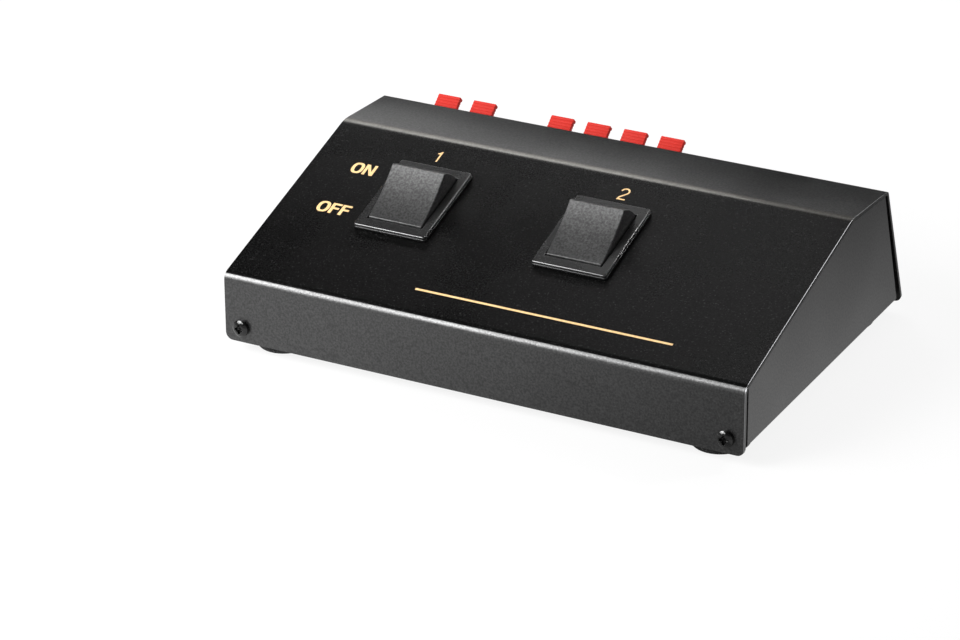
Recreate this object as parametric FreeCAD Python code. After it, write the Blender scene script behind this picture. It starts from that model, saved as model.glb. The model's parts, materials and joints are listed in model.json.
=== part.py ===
import FreeCAD, Part
import math
import os

V = FreeCAD.Vector
os.makedirs("parts", exist_ok=True)

# Speaker selector switch: a folded steel desk box with two rocker switches in its sloping
# panel and two spring terminal blocks in its rear flap. Sizes in mm, angles in degrees.
# X runs to the right seen from the front, Y to the rear, Z up. The origin is on the table
# under the middle of the whole object.

# Box
WIDTH = 180.0
SHEET = 1.0
FRONT_Y = -61.2  # foot of the front flap
FOOT_DROP = 4.0  # cover edge above the table
FRONT_LEAN, FRONT_LENGTH = 3.7, 21.96
SLOPE_ANGLE, SLOPE_LENGTH = 16.85, 78.0
LEDGE_DIP, LEDGE_LENGTH = 3.85, 26.1
REAR_LEAN = 15.4
BEND_R = 2.5
REAR_BEND_R = 1.5
FLAP_CORNER_R = 2.5

# Chassis
PLATE_RISE = 2.0  # underside of the bottom plate above the cover edge
SIDE_SEAM = 1.0  # side panel edge to the front flap
REAR_SEAM_TOP, REAR_SEAM_BOTTOM = 2.6, 3.7  # side panel edge to the outside of the rear flap
TOP_SEAM = 0.12
FLANGE_HEIGHT = 6.6
TAB_WIDTH = 12.0
SIDE_BEND_R, LIP_BEND_R = 2.0, 1.5
SIDE_GAP = 0.7

# Feet
FOOT_R = 9.2
FOOT_EDGE_R = 0.8
FOOT_FROM_SIDE = 14.0
FOOT_INSET = 13.0
FOOT_X = WIDTH / 2 - FOOT_FROM_SIDE

# Screws and nuts
SCREW_R = 1.5
HEAD_R, HEAD_HEIGHT = 2.75, 2.0
HEAD_DOME_R = 4.95
CROSS_HALF, CROSS_ARM, CROSS_DEPTH, CROSS_CORE_R, CROSS_CORE_DEPTH = 0.42, 1.55, 1.1, 1.2, 1.5
SCREW_TIP = 0.5
NUT_FLATS, NUT_HEIGHT = 5.5, 2.4
THREAD_FIT = 0.02
SCREW_HOLE_R = 1.7
COVER_SCREW_FROM_SIDE = 6.0
COVER_SCREW_X = WIDTH / 2 - COVER_SCREW_FROM_SIDE
FRONT_SCREW_UP, REAR_SCREW_UP = 4.9, 6.0
COVER_SCREW_LENGTH = 5.0
BLOCK_SCREW_LENGTH = 7.0

# Rocker switches
SWITCH_FROM_LEFT = {"switch_1": 42.9, "switch_2": 106.1}
SWITCH_X = {name: x - WIDTH / 2 for name, x in SWITCH_FROM_LEFT.items()}
SWITCH_S = 47.0  # centre of the switch up the slope
BEZEL_X, BEZEL_Y, BEZEL_H = 25.1, 31.75, 2.0
BEZEL_STEP, BEZEL_STEP_H = 0.35, 1.1
BEZEL_R, BEZEL_CHAMFER = 1.0, 0.45
MOUTH_BEVEL, MOUTH_BEVEL_H = 0.6, 0.6
OPEN_X, OPEN_Y = 19.4, 26.0
BODY_X, BODY_Y, BODY_DEPTH, BODY_R = 21.8, 28.6, 17.0, 0.6
HOOK_HALF, HOOK_OUT, HOOK_HEIGHT, HOOK_ROOT, HOOK_FIT = 3.5, 0.8, 4.5, 0.2, 0.03
SLIT, SLIT_GAP, SLIT_DEPTH = 0.5, 0.2, 6.0
POLE_WALL_HALF, POLE_WALL_TOP = 0.7, -9.6
CUTOUT_GAP = 0.1
FLOOR_T = 1.6
PIVOT_W = -2.1  # rocker axis below the panel face
ROCKER_X = 18.8
ROCKER_R = 12.65
ROCKER_HALF_ANGLE = 50.8
ROCKER_SAG = 1.3
ROCKER_WALL = 1.5
ROCKER_EDGE_R = 0.5
ROCKER_SKIRT, ROCKER_HOLLOW = 2.2, 4.0  # reach of the skirt and its hollow below the axis
ROCKER_TILT = 19.1
STUB_R, STUB_SHORT, PIN_FIT = 1.75, 0.1, 0.05
POLE_X = 5.2  # each pole from the switch's middle
PLUNGER_REACH, NOSE_R = 6.5, 1.2
PLUNGER_R, PLUNGER_NECK, PLUNGER_LENGTH = 1.65, 0.6, 4.0
BORE_R, BARREL_R, BARREL_END, BORE_ROOF = 1.70, 2.8, 1.6, 1.6
COIL_WIRE_R, COIL_R, COIL_TURNS = 0.18, 1.3, 6
BAR_TILT = 6.0
BAR_X, BAR_HALF, BAR_T = 5.0, 7.6, 1.2
BAR_CLEAR = 0.1
STOP_T = 2.5  # post under the free end of each bar
BLADE_T, BLADE_END = 0.8, -26.0
BLADE_HOLE_R, BLADE_HOLE_UP = 0.9, 2.5
LOAD_V = -8.0
RIVET_R, RIVET_H, RIVET_V = 1.5, 0.6, 6.0
SHELF_PAST = 0.3  # shelf past the rim of its contact

# Terminal blocks, in the plane of the rear flap
BLOCK_U = 24.0  # middle of both blocks up the flap
BLOCK_MARGIN, BLOCK_SPACING = 2.65, 2.4  # left edge of the box to the first ear, ear to ear
LEVER_X, LEVER_GAP = 8.28, 0.33
LEVER_RIB = 4.41  # rib between two levers
COLUMN_PITCH = LEVER_X + 2 * LEVER_GAP + LEVER_RIB
LEVER_PIN_U, LEVER_PIN_W = 8.3, 4.6
LEVER_PIN_R, LEVER_PIN_LENGTH, LEVER_PIN_END = 1.1, 1.2, 0.2
# wall: past the last pin; ear: from the frame to the screw
BLOCKS = {
    "amplifier": {"columns": 2, "wall": 0.885, "ear": 3.4},
    "speaker": {"columns": 4, "wall": 0.585, "ear": 3.6},
}
FRAME_HALF, FRAME_R, FRAME_PROUD = 13.7, 2.0, 1.0
CORE_STEP, CORE_STEP_U = 1.0, 0.6  # block behind the flap, inside the frame
EAR_HALF, EAR_END = 14.6, 3.4
FLANGE_T = 2.0
BLOCK_DEPTH = 10.0
BACK_T = 1.2
BAR_TOP, BAR_HALF_U, BAR_INSET, BAR_EDGE_R = 8.0, 7.13, 1.1, 0.3
TROUGH_END, TROUGH_FLOOR = 12.5, -0.8
RIB_TOP, RIB_END, RIB_SINK = 7.0, 12.6, 0.4
RIB_SLOPE_U, RIB_SLOPE_W, RIB_FROM_END = 2.1, 2.5, 0.3
MOUTH_X, MOUTH_U, HOLE_X, HOLE_U, HOLE_R = 7.8, 6.2, 4.1, 2.7, 1.2
MOUTH_MID = 3.45  # middle of each wire hole from the block's middle line
FUNNEL_FLOOR, FACE_INSIDE = 4.0, 3.0
ROW_WALL_HALF = 0.7
LEVER_LEAN, LEVER_PLATE, LEVER_T, LEVER_NECK = 43.9, 6.9, 1.4, 4.3
RIDGE, RIDGE_PITCH, RIDGE_FLANK, RIDGE_TOP, RIDGES = 0.28, 0.8, 0.15, 0.35, 4
BEAD, BEAD_LENGTH = 0.5, 1.1
LEG_IN, LEG_OUT, LEG_END, LEG_ROOM, LEG_SLOT = 7.5, 9.0, -2.6, 0.5, 0.9
NOSE_IN, NOSE_LOW, NOSE_HIGH, NOSE_FLARE = 2.0, -0.5, 0.9, 1.2
WINDOW_X, WINDOW_IN, WINDOW_OUT = 3.8, 3.9, 6.6
STRIP_U, STRIP_T, STRIP_X, STRIP_TOP, LUG_END = 4.4, 0.5, 3.0, 1.8, -16.5
SHOULDER, LUG_EYE_R, LUG_EYE_UP = 1.2, 0.6, 1.4
LEAF_T, LEAF_HALF, LEAF_FOOT_HALF, LEAF_FOOT_U = 0.3, 1.5, 3.0, 5.7
LEAF_RISE, LEAF_BOW, LEAF_TURN, LEAF_PAST = 1.5, 0.5, 1.8, 0.8

next_ear = -WIDTH / 2 + BLOCK_MARGIN
for b in BLOCKS.values():
    b["half"] = (b["columns"] - 1) / 2 * COLUMN_PITCH
    b["half"] += LEVER_X / 2 + LEVER_PIN_LENGTH + LEVER_PIN_END + b["wall"]
    b["bar"] = b["half"] - BAR_INSET
    b["screw"] = b["half"] + b["ear"]
    b["x"] = next_ear + b["screw"] + EAR_END
    next_ear = b["x"] + b["screw"] + EAR_END + BLOCK_SPACING

# Hook-up wire
WIRE_R = 0.8
WIRE_BEND = 3.0
WIRE_TOUCH = 0.02
LANES, LANE_GAP, LANE_STEP_Y = 6, 1.4, 2.2  # upper lanes, behind the switch bodies
LANE_RISE, LANE_STEP_Z = 8.0, 2.6  # above the bottom plate
# return lanes: in front of the inner ends of the lower lugs, and above the plate
LOW_LANES = (((3.5, 1.8), (8.9, 4.0)), ((0.6, 2.3), (6.4, 2.3)))
FEED_RISE, LOAD_RISE = 4.4, 1.2
PAST = 1.0  # how far a cutting tool runs past a face


def sin(a):
    return math.sin(math.radians(a))


def cos(a):
    return math.cos(math.radians(a))


def tan(a):
    return math.tan(math.radians(a))


# ---- shapes ------------------------------------------------------------------


def block(x0, x1, y0, y1, z0, z1):
    return Part.makeBox(x1 - x0, y1 - y0, z1 - z0, V(x0, y0, z0))


def rounded(hx, hy, r, z0, z1):
    """Box centred on the Z axis with rounded upright edges."""
    b = block(-hx, hx, -hy, hy, z0, z1)
    up = [e for e in b.Edges if abs(e.Vertexes[0].Z - e.Vertexes[1].Z) > 1e-6]
    return b.makeFillet(r, up)


def rod(r, length, at, along):
    return Part.makeCylinder(r, length, at, along)


def prism(outline, x0, x1):
    """Flat outline of (y, z) points pulled along X."""
    pts = [V(x0, y, z) for y, z in outline]
    return Part.Face(Part.makePolygon(pts + pts[:1])).extrude(V(x1 - x0, 0, 0))


def union(shapes):
    shapes = list(shapes)
    return shapes[0].multiFuse(shapes[1:]).removeSplitter() if len(shapes) > 1 else shapes[0]


def cut(shape, tools):
    return shape.cut(Part.makeCompound(list(tools)))


def frame(origin, ex, ey, ez):
    m = FreeCAD.Matrix(
        ex.x, ey.x, ez.x, origin.x,
        ex.y, ey.y, ez.y, origin.y,
        ex.z, ey.z, ez.z, origin.z,
        0, 0, 0, 1,
    )  # fmt: skip
    return FreeCAD.Placement(m)


def placed(shape, placement):
    s = shape.copy()
    s.Placement = placement.multiply(s.Placement)
    return s


def turned(shape, centre, axis, angle):
    s = shape.copy()
    s.rotate(centre, axis, angle)
    return s


def folded(points, radii, to3d):
    """Outline of a sheet folded along points, with the inside of the fold on the right."""
    n = len(points)
    segs = []
    for (a0, b0), (a1, b1) in zip(points, points[1:]):
        length = math.hypot(a1 - a0, b1 - b0)
        segs.append(((a1 - a0) / length, (b1 - b0) / length))
    trims = [0.0] * n
    for i in range(1, n - 1):
        (c0, d0), (c1, d1) = segs[i - 1], segs[i]
        turn = math.acos(max(-1.0, min(1.0, c0 * c1 + d0 * d1)))
        trims[i] = radii[i - 1] * math.tan(turn / 2)
    edges, ends = [], []
    for i, (c, d) in enumerate(segs):
        a0, b0 = points[i][0] + c * trims[i], points[i][1] + d * trims[i]
        a1, b1 = points[i + 1][0] - c * trims[i + 1], points[i + 1][1] - d * trims[i + 1]
        na, nb = d * SHEET, -c * SHEET
        outer = (a0, b0), (a1, b1)
        inner = (a0 + na, b0 + nb), (a1 + na, b1 + nb)
        edges += [Part.LineSegment(to3d(*p), to3d(*q)).toShape() for p, q in (outer, inner)]
        ends.append((outer, inner, (d, -c)))
    for i in range(n - 2):
        (outer0, inner0, normal), (outer1, inner1, _) = ends[i], ends[i + 1]
        r = radii[i]
        ca, cb = outer0[1][0] + normal[0] * r, outer0[1][1] + normal[1] * r
        va, vb = points[i + 1][0] - ca, points[i + 1][1] - cb
        reach = math.hypot(va, vb)
        for start, stop, radius in ((outer0[1], outer1[0], r), (inner0[1], inner1[0], r - SHEET)):
            mid = ca + va / reach * radius, cb + vb / reach * radius
            edges.append(Part.Arc(to3d(*start), to3d(*mid), to3d(*stop)).toShape())
    for k, side in ((0, 0), (-1, 1)):
        edges.append(Part.LineSegment(to3d(*ends[k][0][side]), to3d(*ends[k][1][side])).toShape())
    return Part.Face(Part.Wire(Part.__sortEdges__(edges)))


def offset_in(points, distances):
    """Corners of a chain of lines after each line moves to its right by its own distance."""
    lines = []
    for (a0, b0), (a1, b1), d in zip(points, points[1:], distances):
        length = math.hypot(a1 - a0, b1 - b0)
        c, s = (a1 - a0) / length, (b1 - b0) / length
        lines.append(((a0 + s * d, b0 - c * d), (c, s)))
    out = [lines[0][0]]
    for ((a, b), (c, s)), ((a2, b2), (c2, s2)) in zip(lines, lines[1:]):
        t = ((a2 - a) * s2 - (b2 - b) * c2) / (c * s2 - s * c2)
        out.append((a + c * t, b + s * t))
    (a, b), (c, s) = lines[-1]
    length = math.hypot(points[-1][0] - points[-2][0], points[-1][1] - points[-2][1])
    out.append((a + c * length, b + s * length))
    return out


# ---- frames of the box's faces -------------------------------------------------

P1 = (FRONT_Y, FOOT_DROP)
P2 = (P1[0] + FRONT_LENGTH * sin(FRONT_LEAN), P1[1] + FRONT_LENGTH * cos(FRONT_LEAN))
P3 = (P2[0] + SLOPE_LENGTH * cos(SLOPE_ANGLE), P2[1] + SLOPE_LENGTH * sin(SLOPE_ANGLE))
P4 = (P3[0] + LEDGE_LENGTH * cos(LEDGE_DIP), P3[1] - LEDGE_LENGTH * sin(LEDGE_DIP))
P5 = (P4[0] + (P4[1] - P1[1]) * tan(REAR_LEAN), P1[1])
PROFILE = [P1, P2, P3, P4, P5]
PLATE_Z = FOOT_DROP + PLATE_RISE
PLATE_TOP = PLATE_Z + SHEET

RIGHT = V(1, 0, 0)
FRONT = frame(
    V(0, *P1), RIGHT, V(0, sin(FRONT_LEAN), cos(FRONT_LEAN)), V(0, -cos(FRONT_LEAN), sin(FRONT_LEAN))
)
REAR = frame(
    V(0, *P5), V(-1, 0, 0), V(0, -sin(REAR_LEAN), cos(REAR_LEAN)), V(0, cos(REAR_LEAN), sin(REAR_LEAN))
)
SLOPE = frame(
    V(0, *P2), RIGHT, V(0, cos(SLOPE_ANGLE), sin(SLOPE_ANGLE)), V(0, -sin(SLOPE_ANGLE), cos(SLOPE_ANGLE))
)


def at(base, x, y, z=0.0):
    """The same frame moved to a point given in it."""
    return base.multiply(FreeCAD.Placement(V(x, y, z), FreeCAD.Rotation()))


SWITCHES = {name: at(SLOPE, x, SWITCH_S) for name, x in SWITCH_X.items()}
BLOCK_FRAMES = {name: at(REAR, -b["x"], BLOCK_U) for name, b in BLOCKS.items()}
COVER_SCREWS = [at(FRONT, s * COVER_SCREW_X, FRONT_SCREW_UP) for s in (-1, 1)] + [
    at(REAR, s * COVER_SCREW_X, REAR_SCREW_UP) for s in (-1, 1)
]
BLOCK_SCREWS = [at(BLOCK_FRAMES[n], s * b["screw"], 0) for n, b in BLOCKS.items() for s in (-1, 1)]


def screw_hole(r, depth):
    return rod(r, depth + 2 * PAST, V(0, 0, -depth - PAST), V(0, 0, 1))


# ---- cover ----------------------------------------------------------------------


def cover():
    left = -WIDTH / 2
    sheet = folded(PROFILE, [BEND_R, BEND_R, REAR_BEND_R], lambda a, b: V(left, a, b))
    body = sheet.extrude(V(WIDTH, 0, 0))
    corners = []
    for e in body.Edges:
        m = e.CenterOfMass
        short = abs(e.Length - SHEET) < 1e-3
        if short and abs(abs(m.x) - WIDTH / 2) < 1e-3 and m.z < P1[1] + SHEET:
            corners.append(e)
    body = body.makeFillet(FLAP_CORNER_R, corners)
    tools = [placed(screw_hole(SCREW_HOLE_R, SHEET), f) for f in COVER_SCREWS + BLOCK_SCREWS]
    corner_r = BODY_R - CUTOUT_GAP
    opening = rounded(BODY_X / 2 + CUTOUT_GAP, BODY_Y / 2 + CUTOUT_GAP, corner_r, -SHEET - PAST, PAST)
    tools += [placed(opening, f) for f in SWITCHES.values()]
    for name, b in BLOCKS.items():
        hole = rounded(b["half"] + CUTOUT_GAP, FRAME_HALF + CUTOUT_GAP, FRAME_R, -SHEET - PAST, PAST)
        tools.append(placed(hole, BLOCK_FRAMES[name]))
    return cut(body, tools)


# ---- chassis --------------------------------------------------------------------


def chassis():
    top = P3[1] + PAST
    half = WIDTH / 2
    u_points = [(half, top), (half, PLATE_Z), (-half, PLATE_Z), (-half, top)]
    front, back = P1[0] - PAST, P5[0] + PAST
    side_bends = [SIDE_BEND_R, SIDE_BEND_R]
    trough = folded(u_points, side_bends, lambda a, b: V(a, front, b)).extrude(V(0, back - front, 0))
    # side panels end short of the flaps and pass just under the cover
    inner = offset_in(PROFILE, [SHEET + SIDE_SEAM, SHEET + TOP_SEAM, SHEET + TOP_SEAM, 0])
    foot = inner[0][0] + (PLATE_Z - inner[0][1]) * tan(FRONT_LEAN), PLATE_Z
    lean_cos = cos(REAR_LEAN)
    top_y = inner[3][0] - REAR_SEAM_TOP / lean_cos
    bottom_y = P5[0] - (PLATE_Z - P5[1]) * tan(REAR_LEAN) - REAR_SEAM_BOTTOM / lean_cos
    top_z = inner[2][1] - (top_y - inner[2][0]) * tan(LEDGE_DIP)
    outline = [foot, inner[1], inner[2], (top_y, top_z), (bottom_y, PLATE_Z)]
    body = trough.common(prism(outline, -half, half))
    # front flange and rear tabs lie against the insides of the flaps
    flap_in = offset_in(PROFILE, [SHEET] * 4)
    front_y = flap_in[0][0] + (PLATE_Z - flap_in[0][1]) * tan(FRONT_LEAN)
    rear_y = flap_in[4][0] + (flap_in[4][1] - PLATE_Z) * tan(REAR_LEAN)
    lips = [
        (rear_y - FLANGE_HEIGHT * sin(REAR_LEAN), PLATE_Z + FLANGE_HEIGHT * cos(REAR_LEAN)),
        (rear_y, PLATE_Z),
        (front_y, PLATE_Z),
        (front_y + FLANGE_HEIGHT * sin(FRONT_LEAN), PLATE_Z + FLANGE_HEIGHT * cos(FRONT_LEAN)),
    ]
    reach = half - SHEET - SIDE_GAP
    pan = folded(lips, [LIP_BEND_R, LIP_BEND_R], lambda a, b: V(-reach, a, b))
    pan = pan.extrude(V(2 * reach, 0, 0))
    tab_from = reach - TAB_WIDTH
    lip_deep = FLANGE_HEIGHT * sin(REAR_LEAN) + SHEET + LIP_BEND_R
    between = block(
        -tab_from, tab_from, rear_y - lip_deep, rear_y + PAST, PLATE_Z - PAST, PLATE_Z + FLANGE_HEIGHT + PAST
    )
    pan = pan.cut(between)
    body = union([body, pan])
    return cut(body, [placed(screw_hole(SCREW_R + THREAD_FIT, 2 * SHEET), f) for f in COVER_SCREWS])


# ---- fasteners and feet ---------------------------------------------------------


def pan_screw(length):
    """Pan head on Z = 0 with a cross recess, shank below."""
    head = rod(HEAD_R, HEAD_HEIGHT, V(0, 0, 0), V(0, 0, 1)).common(
        Part.makeSphere(HEAD_DOME_R, V(0, 0, HEAD_HEIGHT - HEAD_DOME_R))
    )
    low, high = HEAD_HEIGHT - CROSS_DEPTH, HEAD_HEIGHT + PAST
    core_low = HEAD_HEIGHT - CROSS_CORE_DEPTH
    slots = [
        block(-CROSS_HALF, CROSS_HALF, -CROSS_ARM, CROSS_ARM, low, high),
        block(-CROSS_ARM, CROSS_ARM, -CROSS_HALF, CROSS_HALF, low, high),
        Part.makeCone(CROSS_CORE_R / 6, CROSS_CORE_R, CROSS_CORE_DEPTH, V(0, 0, core_low), V(0, 0, 1)),
    ]
    shank = rod(SCREW_R, length - SCREW_TIP, V(0, 0, 0), V(0, 0, -1))
    point_r = SCREW_R - 0.8 * SCREW_TIP
    point = Part.makeCone(SCREW_R, point_r, SCREW_TIP, V(0, 0, SCREW_TIP - length), V(0, 0, -1))
    return union([cut(head, slots), shank, point])


def nut():
    r = NUT_FLATS / math.sqrt(3)
    pts = [V(r * cos(60 * k), r * sin(60 * k), 0) for k in range(6)]
    hexagon = Part.Face(Part.makePolygon(pts + pts[:1])).extrude(V(0, 0, -NUT_HEIGHT))
    return hexagon.cut(screw_hole(SCREW_R + THREAD_FIT, NUT_HEIGHT))


def feet():
    pads = []
    for x in (-FOOT_X, FOOT_X):
        for y in (P1[0] + FOOT_INSET, P5[0] - FOOT_INSET):
            pad = rod(FOOT_R, PLATE_Z, V(x, y, 0), V(0, 0, 1))
            pads.append(pad.makeFillet(FOOT_EDGE_R, [e for e in pad.Edges if e.BoundBox.ZMax < 1e-6]))
    return Part.makeCompound(pads)


# ---- rocker switch, in its own frame: X across, Y up the slope, Z out of the panel ----

BAR_AXIS_W = PIVOT_W - PLUNGER_REACH - NOSE_R - BAR_CLEAR - BAR_T  # see-saw axis
FLOOR_TOP = -BODY_DEPTH + FLOOR_T
CONTACT_W = BAR_AXIS_W - RIVET_H - BAR_CLEAR  # top of the fixed contact
SHELF_TOP = CONTACT_W - RIVET_H
SHELF_END = -RIVET_V + RIVET_R + SHELF_PAST
POLES = (-POLE_X, POLE_X)


def switch_housing():
    lower = rounded(BEZEL_X / 2, BEZEL_Y / 2, 1.2 * BEZEL_R, 0, BEZEL_STEP_H)
    upper = rounded(BEZEL_X / 2 - BEZEL_STEP, BEZEL_Y / 2 - BEZEL_STEP, BEZEL_R, 0, BEZEL_H)
    rim = [e for e in upper.Edges if e.BoundBox.ZMin > BEZEL_H - 1e-6]
    upper = upper.makeChamfer(BEZEL_CHAMFER, rim)
    body = rounded(BODY_X / 2, BODY_Y / 2, BODY_R, -BODY_DEPTH, BEZEL_STEP_H)
    under = -SHEET - HOOK_FIT
    end = BODY_Y / 2
    root, low = end - HOOK_ROOT, under - HOOK_HEIGHT
    hook = [(root, under), (end + HOOK_OUT, under), (end, low), (root, low)]
    hooks = [prism([(s * y, z) for y, z in hook], -HOOK_HALF, HOOK_HALF) for s in (-1, 1)]
    shell = union([lower, upper, body] + hooks)
    ox, oy = OPEN_X / 2, OPEN_Y / 2
    tools = [block(-ox, ox, -oy, oy, FLOOR_TOP, BEZEL_H + PAST)]
    bevel = Part.makeLoft(
        [
            Part.makePolygon([V(a * (ox + e), b * (oy + e), z) for a, b in corners])
            for e, z in ((0, BEZEL_H - MOUTH_BEVEL_H), (2 * MOUTH_BEVEL, BEZEL_H + MOUTH_BEVEL_H))
            for corners in [((-1, -1), (1, -1), (1, 1), (-1, 1), (-1, -1))]
        ],
        True,
        True,
    )
    tools.append(bevel)
    tools.append(rod(STUB_R + PIN_FIT, BODY_X + 2 * PAST, V(-BODY_X / 2 - PAST, 0, PIVOT_W), RIGHT))
    # slits that free the snap hooks
    wall = end - oy
    for s in (-1, 1):
        for x in (-HOOK_HALF - SLIT_GAP - SLIT, HOOK_HALF + SLIT_GAP):
            past = wall + HOOK_OUT
            tools.append(block(x, x + SLIT, s * end - past, s * end + past, under - SLIT_DEPTH, under))
    shell = cut(shell, tools)
    inside = [block(-POLE_WALL_HALF, POLE_WALL_HALF, -oy, oy, FLOOR_TOP, POLE_WALL_TOP)]
    stop = BAR_AXIS_W - BAR_CLEAR
    bar = BAR_X / 2
    for x in POLES:
        inside.append(block(x - bar, x + bar, BAR_HALF - STOP_T, BAR_HALF, FLOOR_TOP, stop))
        back, top = SHELF_END - 2 * SHELF_PAST, SHELF_TOP - BLADE_T
        inside.append(block(x - bar, x + bar, LOAD_V + BLADE_T / 2, back, FLOOR_TOP, top))
    shell = union([shell] + inside)
    slots = []
    for x in POLES:
        for v in (0.0, LOAD_V):
            hx, hv = BAR_X / 2 + THREAD_FIT, BLADE_T / 2 + THREAD_FIT
            slots.append(block(x - hx, x + hx, v - hv, v + hv, -BODY_DEPTH - PAST, FLOOR_TOP + THREAD_FIT))
    return cut(shell, slots)


def tilt_rocker(shape):
    """From the rocker's own frame, level and on its axis, to where it rests when off."""
    s = turned(shape, V(0, 0, 0), RIGHT, ROCKER_TILT)
    s.translate(V(0, 0, PIVOT_W))
    return s


def rocker():
    half = ROCKER_R * sin(ROCKER_HALF_ANGLE)
    edge = ROCKER_R * cos(ROCKER_HALF_ANGLE)
    dish_r = (half**2 + ROCKER_SAG**2) / (2 * ROCKER_SAG)
    dish_z = edge - ROCKER_SAG + dish_r
    hx = ROCKER_X / 2

    def drum(r, h, lowest, dish):
        d = rod(r, 2 * h, V(-h, 0, 0), RIGHT).common(block(-h, h, -r, r, lowest, r))
        return d.cut(rod(dish, 2 * (h + PAST), V(-h - PAST, 0, dish_z), RIGHT))

    outer = drum(ROCKER_R, hx, -ROCKER_SKIRT, dish_r)
    top = [e for e in outer.Edges if e.CenterOfMass.z > edge - ROCKER_SAG - ROCKER_EDGE_R / 2]
    outer = outer.makeFillet(ROCKER_EDGE_R, top)
    inner = drum(ROCKER_R - ROCKER_WALL, hx - ROCKER_WALL, -ROCKER_HOLLOW, dish_r + ROCKER_WALL)
    shell = outer.cut(inner)
    low, high = BARREL_END - PLUNGER_REACH, edge - ROCKER_SAG - ROCKER_WALL / 3
    adds = [rod(BARREL_R, high - low, V(x, 0, low), V(0, 0, 1)) for x in POLES]
    stub = (BODY_X - ROCKER_X) / 2 - STUB_SHORT
    adds += [rod(STUB_R, stub + ROCKER_WALL, V(s * (hx - ROCKER_WALL), 0, 0), V(s, 0, 0)) for s in (-1, 1)]
    shell = union([shell] + adds)
    bore = high - BORE_ROOF - low
    return tilt_rocker(cut(shell, [rod(BORE_R, bore, V(x, 0, low), V(0, 0, 1)) for x in POLES]))


def plungers():
    pins = []
    for x in POLES:
        ball = Part.makeSphere(NOSE_R, V(x, 0, -PLUNGER_REACH))
        neck = Part.makeCone(NOSE_R, PLUNGER_R, PLUNGER_NECK, V(x, 0, -PLUNGER_REACH), V(0, 0, 1))
        straight = PLUNGER_LENGTH - PLUNGER_NECK
        shank = rod(PLUNGER_R, straight, V(x, 0, PLUNGER_NECK - PLUNGER_REACH), V(0, 0, 1))
        pins.append(tilt_rocker(union([ball, neck, shank])))
    return Part.makeCompound(pins)


def plunger_springs():
    edge = ROCKER_R * cos(ROCKER_HALF_ANGLE)
    low = PLUNGER_LENGTH - PLUNGER_REACH
    high = edge - ROCKER_SAG - ROCKER_WALL / 3 - BORE_ROOF
    coils = []
    for x in POLES:
        pitch = (high - low - 2 * COIL_WIRE_R) / COIL_TURNS
        helix = Part.makeHelix(pitch, COIL_TURNS * pitch, COIL_R)
        section = Part.Wire([Part.Circle(V(COIL_R, 0, 0), V(0, 1, 0), COIL_WIRE_R).toShape()])
        coil = Part.Wire(helix.Edges).makePipeShell([section], True, True)
        coil.translate(V(x, 0, low + COIL_WIRE_R))
        coils.append(tilt_rocker(coil))
    return Part.makeCompound(coils)


def tilt_bar(shape):
    return turned(shape, V(0, 0, BAR_AXIS_W), RIGHT, -BAR_TILT)


def contact_bars():
    rise = BAR_HALF * tan(BAR_TILT)
    w = BAR_AXIS_W
    outline = [
        (0, w),
        (BAR_HALF, w + rise),
        (BAR_HALF, w + rise + BAR_T),
        (0, w + BAR_T),
        (-BAR_HALF, w + rise + BAR_T),
        (-BAR_HALF, w + rise),
    ]
    bars = []
    for x in POLES:
        bar = prism(outline, x - BAR_X / 2, x + BAR_X / 2)
        groove = rod(BLADE_T / 2 + PIN_FIT, BAR_X + 2 * PAST, V(x - BAR_X / 2 - PAST, 0, w), RIGHT)
        bars.append(tilt_bar(bar.cut(groove)))
    return Part.makeCompound(bars)


def moving_contacts():
    out = []
    for x in POLES:
        seat = V(x, 0, BAR_AXIS_W) + V(0, -cos(BAR_TILT), sin(BAR_TILT)) * RIVET_V
        slant = V(0, -sin(BAR_TILT), -cos(BAR_TILT))
        out.append(tilt_bar(rod(RIVET_R, RIVET_H, seat, slant)))
    return Part.makeCompound(out)


def blade_hole(x, v):
    deep = BLADE_T + 2 * PAST
    return rod(BLADE_HOLE_R, deep, V(x, v - deep / 2, BLADE_END + BLADE_HOLE_UP), V(0, 1, 0))


def common_terminals():
    out = []
    for x in POLES:
        h, t = BAR_X / 2, BLADE_T / 2
        blade = block(x - h, x + h, -t, t, BLADE_END, BAR_AXIS_W)
        nose = rod(t, BAR_X, V(x - h, 0, BAR_AXIS_W), RIGHT)
        out.append(cut(union([blade, nose]), [blade_hole(x, 0)]))
    return Part.makeCompound(out)


def load_terminals():
    out = []
    for x in POLES:
        h, t = BAR_X / 2, BLADE_T / 2
        blade = block(x - h, x + h, LOAD_V - t, LOAD_V + t, BLADE_END, SHELF_TOP)
        shelf = block(x - h, x + h, LOAD_V - t, SHELF_END, SHELF_TOP - BLADE_T, SHELF_TOP)
        out.append(cut(union([blade, shelf]), [blade_hole(x, LOAD_V)]))
    return Part.makeCompound(out)


def fixed_contacts():
    return Part.makeCompound(
        [rod(RIVET_R, RIVET_H, V(x, -RIVET_V, SHELF_TOP), V(0, 0, 1)) for x in POLES]
    )


SWITCH_PARTS = {
    "housing": switch_housing,
    "rocker": rocker,
    "plungers": plungers,
    "plunger_springs": plunger_springs,
    "contact_bars": contact_bars,
    "moving_contacts": moving_contacts,
    "common_terminals": common_terminals,
    "load_terminals": load_terminals,
    "fixed_contacts": fixed_contacts,
}

# ---- terminal block, in its own frame: X to the left of the object, Y up the flap, Z out ----


def columns(b):
    """Middles of the terminals across a block, from the object's right to its left."""
    n = b["columns"]
    return [(k - (n - 1) / 2) * COLUMN_PITCH for k in range(n)]


def both_rows(shape):
    return [shape, shape.mirror(V(0, 0, 0), V(0, 1, 0))]


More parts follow.
